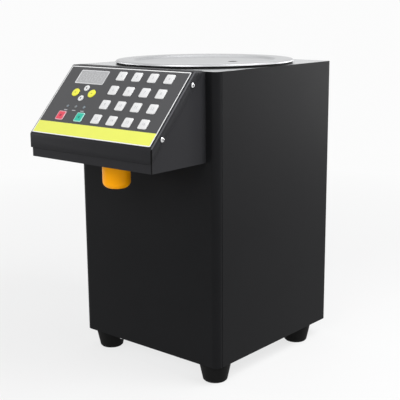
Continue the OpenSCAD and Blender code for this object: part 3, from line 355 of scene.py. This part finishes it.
foot_rubber = weathered_rubber("foot_rubber", (0.003, 0.003, 0.003))
# Black rubber of the tank ring; its near-black, almost glossless look also serves as painted shade in the gap
# under the lid's edge, and in the lid's breather hole.
gasket_rubber = moulded("gasket_rubber", (0.007, 0.007, 0.007), 0.7, grain=700, Specular_IOR_Level=0.06)
pad_rubber = moulded("heater_silicone", (0.42, 0.10, 0.03), 0.65, grain=500, strength=0.2)
hose_rubber = moulded("hose_silicone", (0.66, 0.69, 0.66), 0.4, grain=600, strength=0.05,
                      Subsurface_Weight=0.25)
black_plastic = moulded("black_moulding", (0.022, 0.022, 0.024), 0.5, grain=1500, strength=0.2)
board_green = moulded("board_laminate", (0.02, 0.13, 0.06), 0.4, grain=900)
hood_orange = moulded("hood_orange", (1.0, 0.39, 0.001), 0.36, grain=1100, strength=0.05,
                      Specular_IOR_Level=0.08)
rocker_red = moulded("rocker_moulding", (0.40, 0.02, 0.02), 0.3)

film_grey = printed_film("panel_film_grey", (0.045, 0.045, 0.048))
film_white = printed_film("panel_ink_white", (0.80, 0.80, 0.80))
film_yellow = printed_film("panel_ink_yellow", (0.74, 0.77, 0.115))
key_white = moulded("key_white", (0.70, 0.70, 0.70), 0.34)
key_yellow = moulded("key_yellow", (0.78, 0.76, 0.05), 0.34)
key_red = moulded("key_red", (0.68, 0.045, 0.085), 0.34)
key_red_rim = moulded("key_red_rim", (0.62, 0.36, 0.40), 0.34)
key_green = moulded("key_green", (0.006, 0.44, 0.31), 0.34)
key_green_rim = moulded("key_green_rim", (0.36, 0.66, 0.60), 0.34)
ink_grey = printed_film("key_ink_grey", (0.42, 0.42, 0.44))
ink_dark = printed_film("key_ink_dark", (0.05, 0.05, 0.05))
ink_olive = printed_film("key_ink_olive", (0.26, 0.26, 0.03))
ink_red = printed_film("key_ink_red", (0.30, 0.02, 0.04))
ink_green = printed_film("key_ink_green", (0.005, 0.17, 0.12))
display_rim = moulded("display_rim", (0.56, 0.56, 0.57), 0.4)
display_dark = moulded("display_window", (0.38, 0.38, 0.385), 0.16, grain=400, strength=0.02)
digit_grey = moulded("display_digit", (0.42, 0.42, 0.43), 0.3)
lamp_grey = moulded("lamp_lens", (0.20, 0.20, 0.21), 0.3, grain=400, strength=0.02, Subsurface_Weight=0.3)

NODES_BY_FINISH = (
    (black_paint, "front_shell body_wrap"),
    (box_paint, "control_box"),
    (cover_paint, "panel_cover"),
    (motor_paint, "motor_body"),
    (zinc, "base_plate motor_bracket power_supply"),
    (top_steel, "top_plate"),
    (tank_steel, "tank"),
    (lid_steel, "lid"),
    (bright_steel, "base_screws foot_screws cover_screws pump_screws hose_clamps trigger_pin trigger_spring "
                   "outlet_tube motor_shaft switch_lever"),
    (gear_steel, "drive_gear idler_gear"),
    (cast_metal, "pump_housing pump_cover"),
    (foot_rubber, "feet"),
    (gasket_rubber, "tank_gasket"),
    (pad_rubber, "heater_pad"),
    (hose_rubber, "inlet_hose outlet_hose"),
    (black_plastic, "thermostat microswitch power_inlet"),
    (board_green, "control_board"),
    (hood_orange, "trigger_hood"),
    (rocker_red, "power_rocker"),
    (film_grey, "key_panel"),
    (display_dark, "display_window"),
    (key_yellow, "setting_key_left setting_key_right"),
    (key_red, "stop_key"),
    (key_green, "start_key"),
)
node_finish = {name: finish for finish, names in NODES_BY_FINISH for name in names.split()}
for name, node in frame["nodes"].items():
    node.data.materials.clear()
    node.data.materials.append(node_finish.get(name, key_white).material)


# ---------------------------------------------------------------- modelling by hand, in code
def start(kind, name, *finishes, **size):
    """Adds a primitive with nothing else selected, and opens it in edit mode."""
    bpy.ops.object.select_all(action="DESELECT")
    getattr(bpy.ops.mesh, "primitive_%s_add" % kind)(**size)
    piece = bpy.context.object
    piece.name = piece.data.name = name
    for finish in finishes:
        piece.data.materials.append(finish.material)
    bpy.ops.object.mode_set(mode="EDIT")
    return piece


def choose(piece, what, test):
    """Selects the faces, edges or verts of a piece in edit mode for which the test is true."""
    bpy.context.tool_settings.mesh_select_mode = (what == "verts", what == "edges", what == "faces")
    mesh = bmesh.from_edit_mesh(piece.data)
    for group in (mesh.verts, mesh.edges, mesh.faces):
        for item in group:
            item.select = False
    for item in getattr(mesh, what):
        if test(item):
            item.select_set(True)
    mesh.select_flush_mode()
    bmesh.update_edit_mesh(piece.data)


def choose_all():
    bpy.ops.mesh.select_all(action="SELECT")


def everything(item):
    return True


def level_at(z):
    """A test for edges that lie level at a height."""
    return lambda e: all(abs(v.co.z - z) < 0.01 * MM for v in e.verts)


def above(z):
    """A test for edges or faces with every corner at a height or over it."""
    return lambda item: all(v.co.z > z - 0.001 * MM for v in item.verts)


def middle(item):
    """The middle of a face or an edge."""
    return sum((v.co for v in item.verts), Vector()) / len(item.verts)


def move(x, y, z):
    bpy.ops.transform.translate(value=(x, y, z))


def resize(x, y, z=1.0, about=(0, 0, 0)):
    bpy.ops.transform.resize(value=(x, y, z), center_override=about)


def extrude(*by):
    bpy.ops.mesh.extrude_region_move(TRANSFORM_OT_translate={"value": by})


def extrude_edges(*by):
    bpy.ops.mesh.extrude_edges_move(TRANSFORM_OT_translate={"value": by})


def inset(width):
    bpy.ops.mesh.inset(thickness=width)


def bevel(width, steps=3, corners=False):
    bpy.ops.mesh.bevel(offset=width, offset_type="OFFSET", segments=steps, profile=0.5,
                       affect="VERTICES" if corners else "EDGES", clamp_overlap=True)


def extrude_rings(profile):
    """Extrudes the selected ring of edges along a profile of radii and heights, in millimetres."""
    for (r0, z0), (r1, z1) in zip(profile, profile[1:]):
        extrude_edges(0, 0, (z1 - z0) * MM)
        if r1 != r0:
            resize(r1 / r0, r1 / r0)


def smooth_within(angle):
    bpy.ops.object.shade_smooth_by_angle(angle=math.radians(angle))


def close(piece, place=None, smooth=35):
    """Leaves edit mode, shades by angle and moves the mesh to its place."""
    choose_all()
    bpy.ops.mesh.normals_make_consistent(inside=False)
    bpy.ops.object.mode_set(mode="OBJECT")
    smooth_within(smooth)
    piece.data.transform(piece.matrix_world)
    if place is not None:
        piece.data.transform(place)
    piece.matrix_world = Matrix.Identity(4)
    return piece


def paint(piece, slot, test):
    """Gives the faces for which the test is true another of the piece's finishes."""
    for face in piece.data.polygons:
        if test(face):
            face.material_index = slot


def apply_modifier(piece, kind, **settings):
    bpy.ops.object.select_all(action="DESELECT")
    bpy.context.view_layer.objects.active = piece
    piece.select_set(True)
    made = piece.modifiers.new(kind.lower(), kind)
    for key, value in settings.items():
        setattr(made, key, value)
    bpy.ops.object.modifier_apply(modifier=made.name)


def cut(piece, *cutters):
    """Takes each cutter out of a piece and removes the cutter."""
    for cutter in cutters:
        apply_modifier(piece, "BOOLEAN", object=cutter, operation="DIFFERENCE", solver="EXACT")
        bpy.data.objects.remove(cutter)


def copied(piece, name, place):
    """A copy of a piece, with a mesh of its own, moved to its place."""
    copy = piece.copy()
    copy.data = piece.data.copy()
    copy.name = copy.data.name = name
    copy.data.transform(place)
    bpy.context.scene.collection.objects.link(copy)
    return copy


def join(piece, *others):
    bpy.ops.object.select_all(action="DESELECT")
    for other in others:
        other.select_set(True)
    piece.select_set(True)
    bpy.context.view_layer.objects.active = piece
    bpy.ops.object.join()
    return piece


def repeated(piece, name, places):
    """One piece made of copies at these places. The pattern piece is removed."""
    row = join(*[copied(piece, name, place) for place in places])
    bpy.data.objects.remove(piece)
    row.name = row.data.name = name
    return row


def settle(piece, body, slot, *nodes):
    """Puts a piece on the body that it rides on and hides the nodes that it stands for. The finish's slot is
    not used.
    """
    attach(piece, body)
    if nodes:
        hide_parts(*nodes)


def rounded_sheet(name, finish, w, h, corner, thick, centre=(0, 0, 0)):
    """A flat piece with rounded corners, thickened upwards from its centre's height."""
    piece = start("plane", name, finish, size=1.0, location=(0, 0, 0))
    resize(w, h)
    choose_all()
    bevel(corner, 5, corners=True)
    choose_all()
    move(*centre)
    extrude(0, 0, thick)
    return close(piece)


# ---------------------------------------------------------------- camera, floor and light
def look():
    """The camera, where the photograph's camera stood."""
    back = Vector((math.sin(CAMERA_YAW) * math.cos(CAMERA_PITCH),
                   -math.cos(CAMERA_YAW) * math.cos(CAMERA_PITCH), math.sin(CAMERA_PITCH)))
    level = Vector((0, 0, 1)).cross(back).normalized()
    plumb = back.cross(level)
    right = math.cos(CAMERA_ROLL) * level + math.sin(CAMERA_ROLL) * plumb
    up = math.cos(CAMERA_ROLL) * plumb - math.sin(CAMERA_ROLL) * level
    data = bpy.data.cameras.new("camera")
    data.sensor_fit, data.sensor_width = "HORIZONTAL", SENSOR
    data.lens = SENSOR * FOCAL_PX / PHOTO_PX
    data.clip_start, data.clip_end = 0.05, 50
    camera = bpy.data.objects.new("camera", data)
    bpy.context.scene.collection.objects.link(camera)
    camera.matrix_world = Matrix.Translation(CAMERA_AT) @ Matrix((right, up, back)).transposed().to_4x4()
    bpy.context.scene.camera = camera


def lamp(name, at, aim, size, power):
    """A soft rectangular lamp turned towards a point."""
    data = bpy.data.lights.new(name, "AREA")
    data.shape, data.energy = "RECTANGLE", power
    data.size, data.size_y = size
    light = bpy.data.objects.new(name, data)
    bpy.context.scene.collection.objects.link(light)
    light.location = at
    light.rotation_euler = (Vector(aim) - Vector(at)).to_track_quat("-Z", "Y").to_euler()


def studio_floor():
    """A pale floor that keeps the shadow near the dispenser and fades into the backdrop."""
    just_under = -0.2 * MM
    floor = start("plane", "studio_floor", size=16, location=(0, 0, just_under))
    bpy.ops.mesh.subdivide(number_cuts=3)
    close(floor)
    cloth = Finish("floor_paint", (FLOOR,) * 3, 0.7, Specular_IOR_Level=0.1)
    far = cloth.node("VectorMath", dict(operation="LENGTH"), cloth.place(), out="Value")
    fade = ((far - FADE_FROM) / FADE_OVER).clamped() * (1 - GLOW) + GLOW
    glow = cloth.node("Emission", {}, (BACKDROP,) * 3, 1.0)
    lit = Wire(cloth, cloth.surface.outputs[0])
    blend = cloth.node("MixShader", {}, fade * cloth.backdrop_rays(), lit, glow)
    cloth.feed(cloth.tree.nodes["Material Output"].inputs["Surface"], blend)
    floor.data.materials.append(cloth.material)


def studio_world():
    """The backdrop's tone for the rays that see it, and a soft dim light for all else."""
    world = bpy.data.worlds.new("studio")
    bpy.context.scene.world = world
    sky = Wiring(world)
    sky.tree.nodes.clear()
    soft = sky.node("Background", {}, SKY_COLOR, SKY_LIGHT)
    pale = sky.node("Background", {}, (BACKDROP,) * 3, 1.0)
    end = sky.tree.nodes.new("ShaderNodeOutputWorld")
    sky.feed(end.inputs["Surface"], sky.node("MixShader", {}, sky.backdrop_rays(), soft, pale))


def studio_lamps():
    lamp("front_light", at=(0.3, -2.0, 1.25), aim=(0, -0.1, 0.25), size=(1.4, 1.2), power=23.5)
    lamp("side_light", at=(0.65, 0.15, 0.98), aim=(0.1, 0, 0.35), size=(0.6, 0.6), power=10.6)
    lamp("top_light", at=(-0.5, 0.4, 2.0), aim=(0, 0, 0.3), size=(1.4, 1.4), power=4.5)
    lamp("rear_light", at=(0.6, 1.9, 0.4), aim=(0, 0.15, 0.2), size=(1.2, 0.7), power=14)
    lamp("left_light", at=(-1.9, -0.7, 0.5), aim=(-0.1, 0, 0.2), size=(1.0, 0.8), power=8)


# ---------------------------------------------------------------- lid and the ring under it
def lid():
    """A spun disc: dished middle, flat shoulder, rolled edge, skirt and one breather hole."""
    skirt, dish, rim = 3.0, 2.4, 5.4          # heights over the top plate, in millimetres
    profile = [(60, dish), (91.6, dish), (92.6, dish + 0.15), (93.4, dish + 0.7), (94.6, rim - 0.7),
               (95.5, rim - 0.15), (96.6, rim), (117.5, rim), (118.5, rim - 0.27), (119.2, rim - 0.95),
               (119.5, rim - 1.9), (119.5, skirt)]
    dish_z = TOP_Z + dish * MM
    piece = start("circle", "lid_disc", lid_steel, gasket_rubber, vertices=160, radius=profile[0][0] * MM,
                  fill_type="NGON", location=(0, 0, dish_z))
    choose(piece, "faces", everything)
    inset(40 * MM)
    choose(piece, "edges", lambda e: e.is_boundary)
    extrude_rings(profile)
    close(piece, Matrix.Translation((0, AXIS_Y, 0)), smooth=25)
    apply_modifier(piece, "SOLIDIFY", thickness=1.0 * MM, offset=-1.0)
    hole_at, hole_r = Vector((38 * MM, AXIS_Y + 13 * MM)), 6.3 * MM
    drill = start("cylinder", "lid_hole_cutter", vertices=48, radius=hole_r, depth=8 * MM,
                  location=(*hole_at, dish_z))
    cut(piece, close(drill))
    smooth_within(25)
    near_hole = hole_r + 0.3 * MM
    # Painted shade: the hole's steel wall gets the black rubber finish, to stand for the shadow inside the
    # hole.
    paint(piece, 1, lambda f: abs(f.normal.z) < 0.3 and (f.center.to_2d() - hole_at).length < near_hole)
    settle(piece, "lid", "stainless", "lid")


def tank_ring():
    """A rubber ring on the tank's flange, with a thin lip turned down over the flange's edge."""
    lip, flange, top, edge = 0.05, 1.05, 4.05, 0.3   # heights over the top plate, and softened edges
    # The ring is real rubber; its black also stands as painted shade for the dark gap between the lid's edge
    # and the top plate.
    inner, lip_inner, outer = 100.1, 117.85, 118.3
    profile = [(inner, flange), (inner, top - edge), (inner + edge, top), (outer - edge, top),
               (outer, top - edge), (outer, lip), (lip_inner, lip), (lip_inner, flange), (inner, flange)]
    piece = start("circle", "tank_ring", gasket_rubber, vertices=160, radius=inner * MM, fill_type="NOTHING",
                  location=(0, 0, TOP_Z + flange * MM))
    extrude_rings(profile)
    choose_all()
    bpy.ops.mesh.remove_doubles(threshold=0.001 * MM)
    close(piece, Matrix.Translation((0, AXIS_Y, 0)), smooth=30)
    settle(piece, "cabinet", "gasket_rubber", "tank_gasket")


# ---------------------------------------------------------------- slanted cover
def cover():
    """One folded sheet: front lip, slanted face, top return and two side flanges."""
    length = (CREST - FOLD).length
    rear_y = FRONT_Y - 7 * MM                 # the return stops this far in front of the cabinet
    plumb = COVER_DEPTH / math.cos(SLANT)
    rear_z = FOLD.z + (rear_y - FOLD.y) * math.tan(SLANT) - plumb
    near = 0.01 * MM
    piece = start("plane", "cover_sheet", cover_paint, slanted_edge_painted_highlight, upright_corner_painted_shade, size=1.0, location=(0, 0, 0))
    resize(2 * COVER_HALF, length)
    choose_all()
    move(0, length / 2, 0)
    bpy.ops.object.mode_set(mode="OBJECT")
    piece.data.transform(ON_SLANT)
    bpy.ops.object.mode_set(mode="EDIT")
    choose(piece, "edges", level_at(FOLD.z))
    extrude_edges(0, 0, -plumb)
    choose(piece, "edges", level_at(CREST.z))
    extrude_edges(0, rear_y - CREST.y, 0)
    for x in (-COVER_HALF, COVER_HALF):
        choose(piece, "verts", lambda v: abs(v.co.x - x) < near and abs(v.co.y - rear_y) < near)
        bpy.ops.mesh.extrude_vertices_move(TRANSFORM_OT_translate={"value": (0, 0, rear_z - CREST.z)})
        choose(piece, "verts", lambda v: abs(v.co.x - x) < near)
        bpy.ops.mesh.edge_face_add()
    choose(piece, "faces", everything)
    bpy.ops.mesh.normals_make_consistent(inside=False)
    choose(piece, "edges", lambda e: len(e.link_faces) == 2)
    bevel(1.3 * MM, 4)
    close(piece, smooth=30)
    slanted_face = max(piece.data.polygons, key=lambda f: f.area)
    if slanted_face.normal.z < 0:
        piece.data.flip_normals()
    apply_modifier(piece, "SOLIDIFY", thickness=COVER_SHEET, offset=-1.0)
    paint_bends(piece)
    settle(piece, "cabinet", "black_paint", "panel_cover")


def paint_bends(piece):
    """Painted highlight on the cover's slanted edges and painted shade on its upright corners."""
    up_slant = (CREST - FOLD).normalized()
    flats = (ON_SLANT.to_3x3() @ Vector((0, 0, 1)), Vector((1, 0, 0)), Vector((0, -1, 0)), Vector((0, 0, 1)))

    def bent(f):
        return max(abs(f.normal.dot(flat)) for flat in flats) < 0.985

    # Painted highlight on the bends along the slanted edges.
    paint(piece, 1, lambda f: bent(f) and abs(f.normal.dot(up_slant)) < 0.2 and abs(f.normal.x) > 0.2)
    # Painted shade on the upright bends.
    paint(piece, 2, lambda f: bent(f) and abs(f.normal.z) < 0.1)


def cover_screws():
    """Domed heads with a cross recess, two on each side of the cover."""
    rim_h = 1.1 * MM
    head = start("cylinder", "screw_head", bright_steel, ink_dark, vertices=40, radius=3.0 * MM, depth=rim_h,
                 location=(0, 0, rim_h / 2))
    for step_in, step_up in ((0.5, 0.55), (0.7, 0.32), (0.8, 0.12)):
        choose(head, "faces", lambda f: f.normal.z > 0.99 and middle(f).z > 0.5 * MM)
        inset(step_in * MM)
        move(0, 0, step_up * MM)
    close(head, smooth=40)
    slot_z, slots = 1.75 * MM, []
    for turn in (20, 110):
        slot = start("cube", "recess_cutter", ink_dark, size=1.0, location=(0, 0, slot_z))
        resize(3.1 * MM, 0.85 * MM, 2.0 * MM, about=(0, 0, slot_z))
        slots.append(close(slot, Matrix.Rotation(math.radians(turn), 4, "Z")))
    cut(head, *slots)
    smooth_within(40)
    low, high, reach = 0.6 * MM, 1.95 * MM, 1.7 * MM
    paint(head, 1, lambda f: low < f.center.z < high and f.center.to_2d().length < reach)
    places = [ON_SLANT @ Matrix.Translation((side * COVER_HALF, up, -SCREW_IN))
              @ Matrix.Rotation(side * math.pi / 2, 4, "Y") for side in (-1, 1) for up in SCREW_UP]
    settle(repeated(head, "cover_screw_heads", places), "cabinet", "bright_steel", "cover_screws")


# ---------------------------------------------------------------- keys
def key_cap(finish, border=None, radius=None):
    """A cap at the origin: its face, and the flange behind the panel that holds it.

    The tests read heights from the primitive's own middle. A square cap starts at the flange's under
    side, so there they also take in the under side and the flange's edges.
    """
    flange_low, flange_high = -2.1 * MM, -0.3 * MM
    flange_h = flange_high - flange_low
    small = 5 * MM
    step = 0.4 * MM if radius and radius < small else 1.0 * MM
    broad, broad_inside = 40 * MM ** 2, 30 * MM ** 2
    finishes = [finish, border] if border else [finish]
    if radius:
        cap = start("cylinder", "cap", *finishes, vertices=56, radius=radius + step, depth=flange_h,
                    location=(0, 0, flange_low + flange_h / 2))
    else:
        cap = start("plane", "cap", *finishes, size=KEY_SIDE + 2 * step, location=(0, 0, flange_low))
        bevel(KEY_CORNER + step, 5, corners=True)
        choose_all()
        extrude(0, 0, flange_h)
    choose(cap, "faces", lambda f: abs(f.normal.z) > 0.9 and middle(f).z > flange_high)
    inset(step)
    extrude(0, 0, KEY_TOP - flange_high)
    choose(cap, "edges", above(KEY_TOP))
    bevel(0.25 * MM, 3)
    if border:
        choose(cap, "faces", lambda f: above(KEY_TOP)(f) and f.calc_area() > broad)
        inset(0.75 * MM)
    close(cap, smooth=40)
    if border:
        paint(cap, 1, lambda f: f.center.z > -0.25 * MM)
        paint(cap, 0, lambda f: f.center.z > KEY_TOP - 0.001 * MM and f.area > broad_inside)
    return cap


def printed_number(text):
    """A plain number as a very thin mesh, centred at the place that it is given."""
    def mark(place):
        bpy.ops.object.select_all(action="DESELECT")
        bpy.ops.object.text_add()
        words = bpy.context.object.data
        words.body, words.size = text, 5.6 * MM
        words.align_x, words.align_y = "CENTER", "CENTER"
        words.extrude = 0.03 * MM
        bpy.ops.object.convert(target="MESH")
        label = bpy.context.object
        label.data.materials.clear()
        label.data.materials.append(ink_grey.material)
        label.data.transform(place)
        return label
    return mark


def printed_shape(sides, radius, finish, turn=0.0, stretch=(1, 1)):
    """A small printed mark: a triangle, a square or a bar."""
    def mark(place):
        piece = start("cylinder", "mark", finish, vertices=sides, radius=radius * MM, depth=0.06 * MM,
                      location=(0, 0, 0))
        choose_all()
        bpy.ops.transform.rotate(value=math.radians(turn), orient_axis="Z", center_override=(0, 0, 0))
        resize(*stretch)
        return close(piece, place)
    return mark


def set_keys(cap, slot, keys):
    """Copies of a cap in the panel, each with its name, node, middle and mark. The pattern cap is removed."""
    for name, node, centre, mark in keys:
        place = ON_SLANT @ Matrix.Translation((centre[0] * MM, centre[1] * MM, 0))
        piece = copied(cap, name, place)
        join(piece, mark(place @ Matrix.Translation((0, 0, KEY_TOP))))
        settle(piece, node, slot, node)
    bpy.data.objects.remove(cap)


def dose_keys():
    keys = []
    for k in range(DOSE_KEYS):
        column, row = k % DOSE_COLUMNS, k // DOSE_COLUMNS
        centre = (DOSE_FIRST[0] + DOSE_PITCH[0] * column, DOSE_FIRST[1] - DOSE_PITCH[1] * row)
        number = k + 1
        keys.append(("dose_cap_%02d" % number, "dose_key_%02d" % number, centre, printed_number(str(number))))
    set_keys(key_cap(key_white), "key_white", keys)


def setting_keys():
    bar = printed_shape(4, 1.3, ink_olive, turn=45, stretch=(1.3, 0.55))
    set_keys(key_cap(key_yellow, radius=5.8 * MM), "key_yellow",
             [("setting_cap_" + side, "setting_key_" + side, SETTING_KEY_AT[side], bar)
              for side in ("left", "right")])


def arrow_keys():
    arrows = {"up": printed_shape(3, 1.9, ink_dark), "down": printed_shape(3, 1.9, ink_dark, turn=180)}
    set_keys(key_cap(key_white, radius=4.2 * MM), "key_white",
             [("arrow_cap_" + way, "arrow_key_" + way, ARROW_KEY_AT[way], arrow)
              for way, arrow in arrows.items()])


def stop_and_start_keys():
    set_keys(key_cap(key_red, border=key_red_rim), "key_red",
             [("stop_cap", "stop_key", STOP_KEY_AT, printed_shape(4, 2.4, ink_red, turn=45))])
    set_keys(key_cap(key_green, border=key_green_rim), "key_green",
             [("start_cap", "start_key", START_KEY_AT, printed_shape(3, 2.6, ink_green, turn=-90))])


# ---------------------------------------------------------------- panel print, lamps and display
def panel_print():
    """The white line round the panel and the yellow band along its foot, as printed layers."""
    line_w, edge, band_h = 1.3 * MM, 0.1 * MM, 17.2 * MM
    line = start("plane", "panel_line", film_white, size=1.0, location=(0, 0, 0))
    resize(PANEL_W - 2 * edge, PANEL_H - 2 * edge)
    choose_all()
    bevel(1.4 * MM, 4, corners=True)
    choose_all()
    move(0, PANEL_LOW + PANEL_H / 2, PANEL_T)
    inset(line_w)
    bpy.ops.mesh.delete(type="FACE")
    choose_all()
    extrude(0, 0, INK_T)
    close(line, ON_SLANT)
    settle(line, "cabinet", "panel_film")
    band = rounded_sheet("panel_band", film_yellow, PANEL_W - 2 * edge - 2 * line_w, band_h, 0.4 * MM, INK_T,
                         centre=(0, PANEL_LOW + edge + line_w + band_h / 2, PANEL_T))
    band.data.transform(ON_SLANT)
    settle(band, "cabinet", "panel_film")


def lamps():
    """Three lamp lenses over the board's lamps, and a plain bar under each."""
    middle_x, lamp_y = LAMP_MIDDLE
    across = [(middle_x + LAMP_PITCH * k) * MM for k in (-1, 0, 1)]
    lens = start("cylinder", "lens", lamp_grey, vertices=32, radius=1.9 * MM, depth=0.3 * MM,
                 location=(0, 0, 0.15 * MM))
    for step_in, step_up in ((0.45, 0.22), (0.55, 0.12)):
        choose(lens, "faces", lambda f: f.normal.z > 0.99 and middle(f).z > 0.1 * MM)
        inset(step_in * MM)
        move(0, 0, step_up * MM)
    close(lens, smooth=60)
    bar = rounded_sheet("bar", ink_grey, 6.2 * MM, 1.1 * MM, 0.4 * MM, INK_T)
    for piece, name, slot, y in ((lens, "lamp_lenses", "display_plastic", lamp_y),
                                 (bar, "lamp_bars", "panel_film", lamp_y - 5.8)):
        places = [ON_SLANT @ Matrix.Translation((x, y * MM, PANEL_T)) for x in across]
        settle(repeated(piece, name, places), "cabinet", slot)


def display_lens():
    """A pale rounded rim round a sunk grey window."""
    low, high, sunk = -0.8 * MM, 1.0 * MM, 0.25 * MM
    piece = start("plane", "display_lens", display_dark, display_rim, size=1.0, location=(0, 0, 0))
    resize(DISPLAY_W, DISPLAY_H)
    choose_all()
    bevel(2.0 * MM, 6, corners=True)
    choose_all()
    move(0, 0, low)
    extrude(0, 0, high - low)
    choose(piece, "faces", above(high))
    inset(1.3 * MM)
    inset(sunk)
    move(0, 0, -sunk)
    close(piece, smooth=30)
    paint(piece, 1, lambda f: f.area < (20 * MM) ** 2)
    piece.data.transform(ON_SLANT @ Matrix.Translation((*DISPLAY_AT, 0)))
    settle(piece, "cabinet", "display_plastic", "display_window")


def display_digits():
    """Four unlit digits of seven bars, leaning a little to the right."""
    bar_len, bar_w, bar_t, face = 5.4 * MM, 1.15 * MM, 0.06 * MM, 0.75 * MM
    digit_w, digit_h, digit_pitch, lean = 6.0 * MM, 12.6 * MM, 10.6 * MM, 0.12
    bar = start("plane", "bar", digit_grey, size=1.0, location=(0, 0, 0))
    resize(bar_len, bar_w)
    choose(bar, "verts", everything)
    bevel(bar_w * 0.48, 1, corners=True)
    choose_all()
    extrude(0, 0, bar_t)
    close(bar)
    level = [(0, row * digit_h / 2, 0) for row in (1, 0, -1)]
    upright = [(sx * digit_w / 2, sy * digit_h / 4, 90) for sx in (-1, 1) for sy in (-1, 1)]
    places = []
    for digit in range(4):
        middle_x = DISPLAY_AT.x + (digit - 1.5) * digit_pitch
        for x, y, turn in level + upright:
            here = Matrix.Translation((middle_x + x + y * lean, DISPLAY_AT.y + y, face))
            places.append(ON_SLANT @ here @ Matrix.Rotation(math.radians(turn), 4, "Z"))
    settle(repeated(bar, "display_digits", places), "cabinet", "display_plastic")


look()
studio_floor()
studio_world()
studio_lamps()
lid()
tank_ring()
cover()
cover_screws()
dose_keys()
setting_keys()
arrow_keys()
stop_and_start_keys()
panel_print()
lamps()
display_lens()
display_digits()

# ---------------------------------------------------------------- finish
bpy.context.scene.view_settings.view_transform = "Standard"
bpy.context.view_layer.update()
